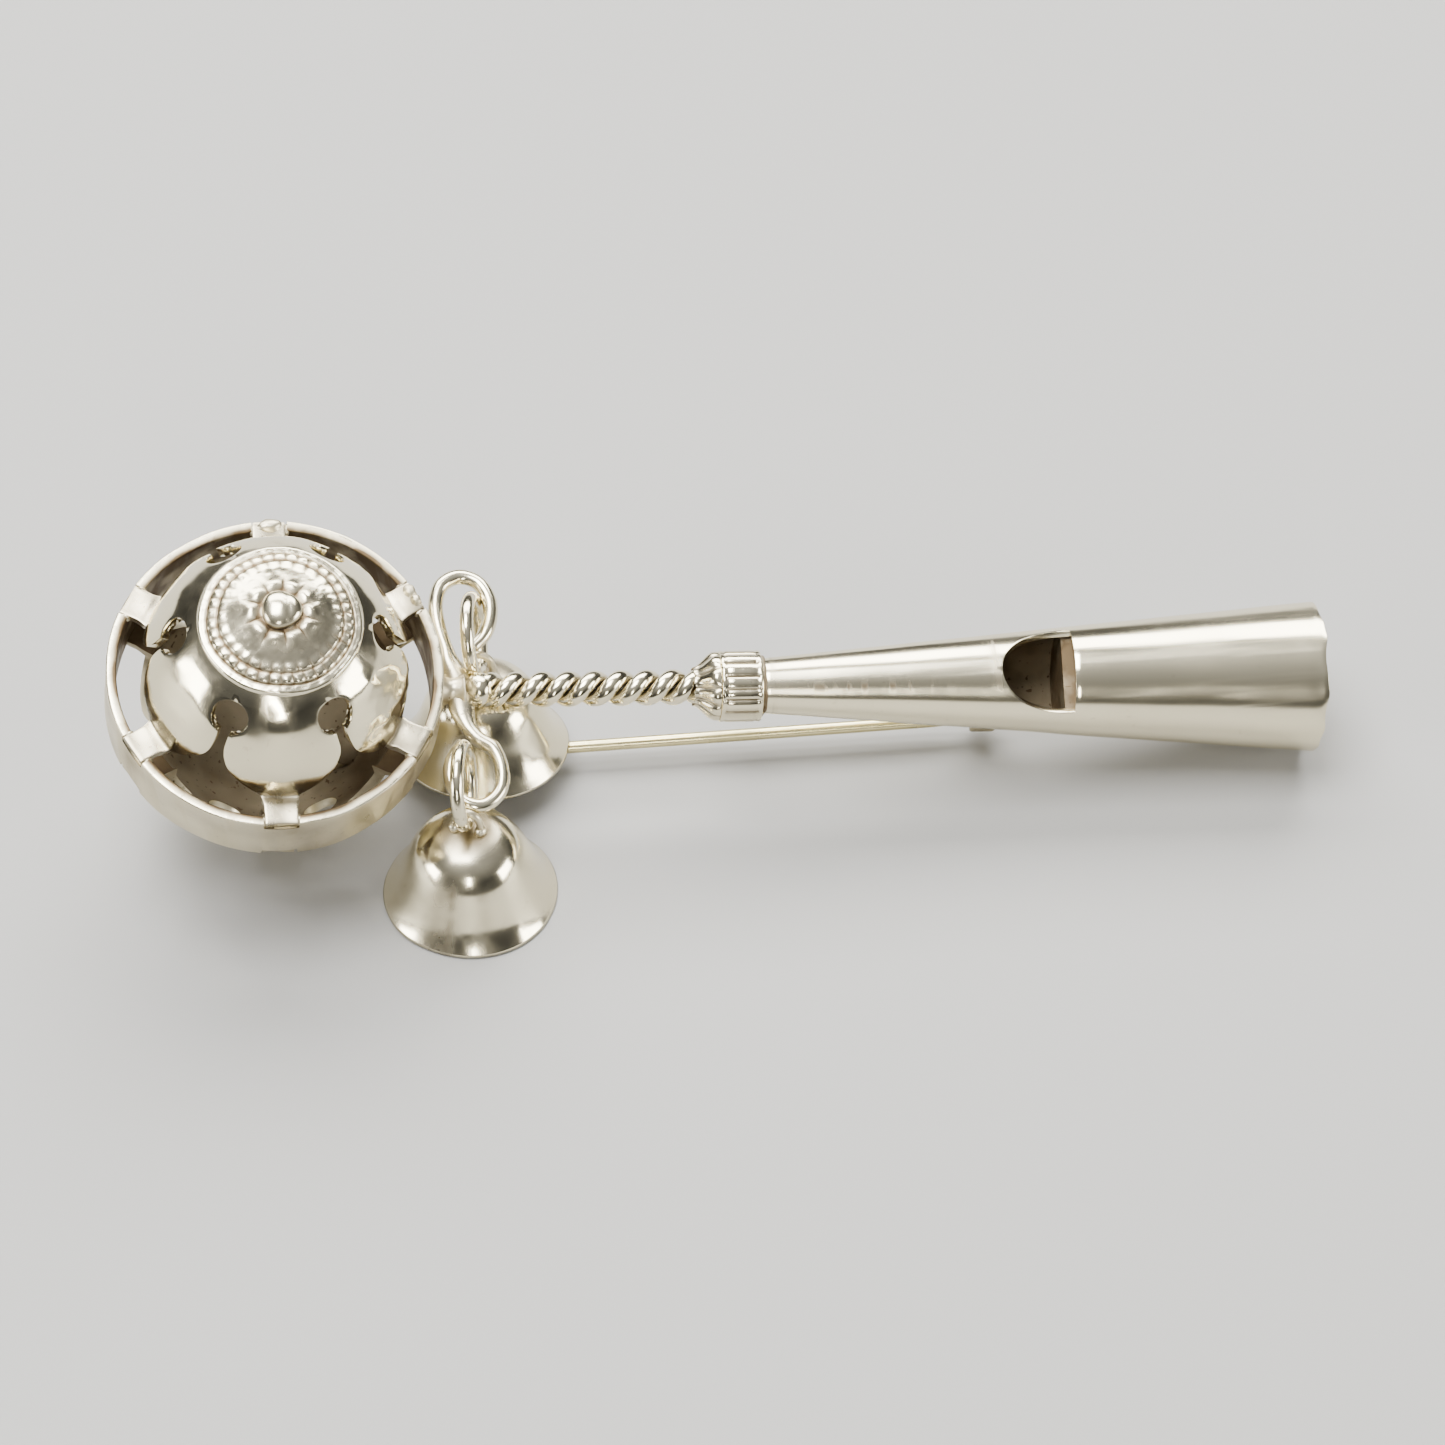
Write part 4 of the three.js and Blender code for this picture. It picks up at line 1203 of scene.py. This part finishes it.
def clear_of_pin(points):
    """A dent where a bell has rubbed on the pin: points near the pin's line move away from it."""
    line = (PIN_TIP - PIVOT) / np.linalg.norm(PIN_TIP - PIVOT)
    off = points - PIVOT
    off = off - (off @ line)[..., None] * line
    far = np.linalg.norm(off, axis=-1, keepdims=True)
    return points + off / far * 0.14 * np.exp(-((far / 0.6) ** 2))


class RATTLE_OT_bells(bpy.types.Operator):
    """Spin the two bells and hang their clappers"""

    bl_idname = "rattle.bells"
    bl_label = "Bells"

    def execute(self, context):
        size = sizes()
        height, mouth = size.bell_height / MM, size.bell_mouth / MM
        for letter, seed, narrower in (("a", 71, 1.0), ("b", 83, 0.982)):
            centre, axes = bell_frame(letter)
            body = f"swinging_bell_{letter}"
            points, faces, marks = bell_wall(height, mouth * narrower, seed)
            points = clear_of_pin(points @ axes.T + centre)
            made = make_mesh(f"bell_cup_{letter}", points, faces, marks=marks)
            finish_piece(made, "spun", body, "polished_silver", f"bell_{letter}")

            # the staple and the two grains of solder at its feet
            foot = height - 0.02
            side = np.array([(0.74, 0, 0), (0.74, 0, 0.57), (0.52, 0, 1.3)])
            knots = np.concatenate([side * [-1, 1, 1], [(0, 0, 1.55)], side[::-1]]) + [0, 0, foot]
            loop = wire(smooth_path(knots, 48), 0.22, 16)
            grains = [
                blob((way * 0.76, 0, foot + 0.18), (0.36, 0.36, 0.33), seed + way, rough=0.07)
                for way in (-1, 1)
            ]
            points, faces, marks = joined([(*loop, 0.25), *[(*grain, 0.1) for grain in grains]])
            made = make_mesh(f"staple_{letter}", points @ axes.T + centre, faces, marks=marks)
            finish_piece(made, "solder", body, "polished_silver", f"bell_staple_{letter}")

            # the clapper: an eye, a thin rod and a ball
            eye_height = height - 1.29
            turn = once_round(40)
            eye_path = np.column_stack([0.3 * np.cos(turn), 0 * turn, 0.3 * np.sin(turn) + eye_height])
            eye = wire(eye_path, 0.11, 12, closed=True)
            top = eye_height - 0.32
            ball, reach = 1.3, 0.8
            curve = np.linspace(0, math.pi, 16)[:-2]
            profile = [(reach * math.sin(a), ball - reach * math.cos(a)) for a in curve]
            profile += [(0.17, ball + 0.85), (0.15, top), (0, top + 0.05)]
            points, faces, marks = joined([(*eye, 0.4), (*turned(profile, 28), 0.45)])
            made = make_mesh(f"clapper_rod_{letter}", points @ axes.T + centre, faces, marks=marks)
            finish_piece(made, "solder", f"clapper_arm_{letter}", "polished_silver", f"clapper_{letter}")
        return {"FINISHED"}


# ------------------------------------------------------------------ pin and fittings


POINT_LENGTH = 5.0


class RATTLE_OT_pin(bpy.types.Operator):
    """Point the brass pin and coil its eye round the rivet"""

    bl_idname = "rattle.pin"
    bl_label = "Pin"

    def execute(self, context):
        gauge = sizes().pin_radius / MM
        line = PIN_TIP - PIVOT
        length = np.linalg.norm(line)
        line = line / length
        up = np.cross(np.array([0.0, 1.0, 0.0]), line)
        share = np.concatenate([
            np.linspace(0.62, length - POINT_LENGTH, 60),
            np.linspace(length - POINT_LENGTH + 0.1, length - 0.1, 30),
        ])
        path = PIVOT + line * share[:, None]
        sharpened = np.maximum((share - length + POINT_LENGTH) / POINT_LENGTH, 0)
        taper = 1 - 0.86 * sharpened**1.3
        stem = wire(path, gauge * taper, 18)
        # the eye: the wire wrapped once round the rivet, its turns side by side
        turn = np.linspace(0, 2 * TAU, 100)
        beside = -0.26 + 0.52 * turn / turn[-1]
        eye_path = np.column_stack([0.46 * np.cos(turn), beside, 0.46 * np.sin(turn)])
        basis = np.stack([line, [0, 1, 0], up], axis=1)
        eye = wire(eye_path @ basis.T + PIVOT, 0.18, 12)
        points, faces, marks = joined([(*stem, 0.05), (*eye, 0.4)])
        made = make_mesh("brass_pin", points, faces, marks=marks)
        finish_piece(made, "brass", "pin", "pin_brass", "pin_stem")

        # the hinge: a strap bent to two round ears, spread with solder under the back ball
        knots = [(-1.72, -9.1), (-1.72, -8.2), (-1.72, -7.0), (-1.45, -6.25), (-0.5, -6.05),
                 (0.45, -6.25), (0.72, -7.0), (0.72, -8.2), (0.72, -9.1)]
        line = smooth_path(np.column_stack([np.zeros(len(knots)), knots]), 90)[:, 1:]
        run = np.concatenate([[0], np.cumsum(np.linalg.norm(np.diff(line, axis=0), axis=1))])
        widths = rounded_ends(run, 0.62, 0.62) + 0.45 * smooth_step(line[:, 1], -8.3, -7.2)
        ears = strap(line, PIVOT[0], widths, np.where(widths > 0.01, 0.21, 0.02))
        pad = blob((PIVOT[0] - 0.1, -0.5, -6.0), (1.12, 1.25, 0.42), 91, 20, 28, rough=0.07)
        points, faces, marks = joined([(*ears, 0.35), (*pad, 0.55)])
        made = make_mesh("hinge_ears", points, faces, marks=marks)
        finish_piece(made, "dull", "brooch", "worn_silver", "hinge_block")

        # the rivet, its ends spread to low heads
        profile = [(0, -1.30), (0.24, -1.29), (0.34, -1.24), (0.36, -1.14), (0.25, -1.08), (0.25, 1.08),
                   (0.36, 1.14), (0.34, 1.24), (0.24, 1.29), (0, 1.30)]
        points, faces = turned(profile, 28)
        points = points[..., [0, 2, 1]] + PIVOT
        made = make_mesh("hinge_pin", points, faces, marks=0.2)
        finish_piece(made, "drawn", "brooch", "worn_silver", "hinge_rivet")

        # the catch: a post soldered under the whistle, ending in a hook open downwards
        share = (CATCH_X - PIVOT[0]) / (PIN_TIP[0] - PIVOT[0])
        y, z = (PIVOT + (PIN_TIP - PIVOT) * share)[1:]
        turn = np.linspace(-0.30 * math.pi, 1.30 * math.pi, 60)
        hook_line = np.column_stack([y + HOOK_RADIUS * np.cos(turn), z + HOOK_RADIUS * np.sin(turn)])
        run = np.linspace(0, HOOK_RADIUS * (turn[-1] - turn[0]), len(turn))
        widths = rounded_ends(run, 0.74, 0.4)
        hook = strap(hook_line, CATCH_X, widths, np.where(widths > 0.01, 0.16, 0.02))
        post_line = np.column_stack([np.full(24, y), np.linspace(z + 0.6, -2.62, 24)])
        post_run = np.linspace(0, 1, 24)
        closing = np.sin(np.clip(post_run * 30, 0, 1) * math.pi / 2) * (post_run < 0.999)
        post = strap(post_line, CATCH_X, 0.62 * closing + 0.2 * post_run**4, 0.2 + 0.45 * post_run**6)
        points, faces, marks = joined([(*hook, 0.3), (*post, 0.4)])
        made = make_mesh("catch", points, faces, marks=marks)
        finish_piece(made, "dull", "brooch", "worn_silver", "catch_hook")
        for letter in "ab":
            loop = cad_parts[f"clapper_loop_{letter}"]
            loop.data.materials.clear()
            loop.data.materials.append(material("drawn"))
        return {"FINISHED"}


# ------------------------------------------------------------------ stage


STAGE_MIDDLE = (0, 0, 0.005)
FLOOR_REACH = 0.9
FLOOR_COUNT = 60
FLOOR_GREY = (0.33, 0.326, 0.315, 1)
# name: (place, width, depth, power, colour)
LIGHTS = {
    "back_softbox": ((0.02, 0.42, 0.44), 0.75, 0.32, 10.5, (1, 0.99, 0.96)),
    "overhead_softbox": ((-0.12, 0.02, 0.58), 0.34, 0.3, 6.5, (1, 1, 1)),
    "left_card": ((-0.62, -0.12, 0.17), 0.30, 0.22, 3.4, (1, 0.98, 0.93)),
    "right_card": ((0.60, -0.22, 0.17), 0.34, 0.22, 3.4, (1, 0.98, 0.93)),
    "front_strip": ((-0.05, -0.60, 0.30), 0.06, 0.22, 1.2, (1, 0.97, 0.9)),
}


def area_light(name, spot, width, depth, power, colour):
    """A soft box of light that faces the middle of the stage."""
    light = bpy.data.lights.new(name, "AREA")
    light.shape = "RECTANGLE"
    light.size, light.size_y = width, depth
    light.energy = power
    light.color = colour
    made = bpy.data.objects.new(name, light)
    made.location = spot
    made.rotation_euler = (Vector(STAGE_MIDDLE) - Vector(spot)).to_track_quat("-Z", "Y").to_euler()
    bpy.context.scene.collection.objects.link(made)


CAMERA_ELEVATION = 50.0
CAMERA_AZIMUTH = 5.5
CAMERA_DISTANCE = 0.338
CAMERA_FIELD = 14.0
CAMERA_SHIFT = (0.0062, 0.0030)
AIM = (-0.0005, 0.0, 0.0058)


class RATTLE_OT_stage(bpy.types.Operator):
    """Set the pale floor, the soft lights and the camera"""

    bl_idname = "rattle.stage"
    bl_label = "Stage"

    def execute(self, context):
        scene = context.scene
        spread = np.linspace(-1, 1, FLOOR_COUNT) * FLOOR_REACH
        gx, gy = np.meshgrid(spread, spread, indexing="ij")
        floor_points = np.stack([gx, gy, 0 * gx - 0.00002], axis=-1).reshape(-1, 3)
        mesh = bpy.data.meshes.new("floor")
        mesh.from_pydata(floor_points, [], grid_faces(FLOOR_COUNT, FLOOR_COUNT).tolist())
        floor = bpy.data.objects.new("floor", mesh)
        scene.collection.objects.link(floor)
        paint = bpy.data.materials.new("pale floor")
        paint.use_nodes = True
        shader = paint.node_tree.nodes["Principled BSDF"]
        shader.inputs["Base Color"].default_value = FLOOR_GREY
        shader.inputs["Roughness"].default_value = 0.6
        mesh.materials.append(paint)

        world = bpy.data.worlds.new("studio")
        scene.world = world
        world.use_nodes = True
        tree = world.node_tree
        back = tree.nodes["Background"]
        where = node(tree, "ShaderNodeTexCoord").outputs["Generated"]
        split = node(tree, "ShaderNodeSeparateXYZ")
        tree.links.new(where, split.inputs["Vector"])
        height = maths(tree, "MULTIPLY_ADD", split.outputs["Z"], 0.5, 0.5)
        shade = ramp(tree, height, (0, 0.10), (0.5, 0.12), (0.66, 0.07), (0.8, 0.26), (0.9, 0.5), (1, 0.75))
        tree.links.new(shade, back.inputs["Color"])
        back.inputs["Strength"].default_value = 0.7

        for name, settings in LIGHTS.items():
            area_light(name, *settings)

        camera = bpy.data.cameras.new("camera")
        camera.sensor_width = 36
        camera.angle = math.radians(CAMERA_FIELD)
        camera.clip_start, camera.clip_end = 0.01, 20
        eye = bpy.data.objects.new("camera", camera)
        e, a = math.radians(CAMERA_ELEVATION), math.radians(CAMERA_AZIMUTH)
        away = Vector((-math.sin(a) * math.cos(e), -math.cos(a) * math.cos(e), math.sin(e)))
        eye.location = Vector(AIM) + away * CAMERA_DISTANCE
        eye.rotation_mode = "QUATERNION"
        eye.rotation_quaternion = (-away).to_track_quat("-Z", "Y")
        camera.shift_x, camera.shift_y = CAMERA_SHIFT
        scene.collection.objects.link(eye)
        scene.camera = eye
        return {"FINISHED"}


# ------------------------------------------------------------------ panel

OPERATORS = (
    RATTLE_OT_domes,
    RATTLE_OT_hoop,
    RATTLE_OT_medallion,
    RATTLE_OT_solder,
    RATTLE_OT_s_wire,
    RATTLE_OT_handle,
    RATTLE_OT_whistle,
    RATTLE_OT_rings,
    RATTLE_OT_bells,
    RATTLE_OT_pin,
    RATTLE_OT_stage,
)


class RATTLE_PT_panel(bpy.types.Panel):
    bl_label = "Rattle brooch"
    bl_space_type = "VIEW_3D"
    bl_region_type = "UI"
    bl_category = "Rattle"

    def draw(self, context):
        layout = self.layout
        for name in RattleSizes.__annotations__:
            layout.prop(context.scene.rattle_sizes, name)
        for operator in OPERATORS:
            layout.operator(operator.bl_idname)


CLASSES = (RattleSizes, *OPERATORS, RATTLE_PT_panel)


def register():
    for made in CLASSES:
        bpy.utils.register_class(made)
    bpy.types.Scene.rattle_sizes = bpy.props.PointerProperty(type=RattleSizes)


def unregister():
    del bpy.types.Scene.rattle_sizes
    for made in reversed(CLASSES):
        bpy.utils.unregister_class(made)


def main():
    register()
    for operator in OPERATORS:
        group, name = operator.bl_idname.split(".")
        getattr(getattr(bpy.ops, group), name)()


if __name__ == "__main__":
    main()
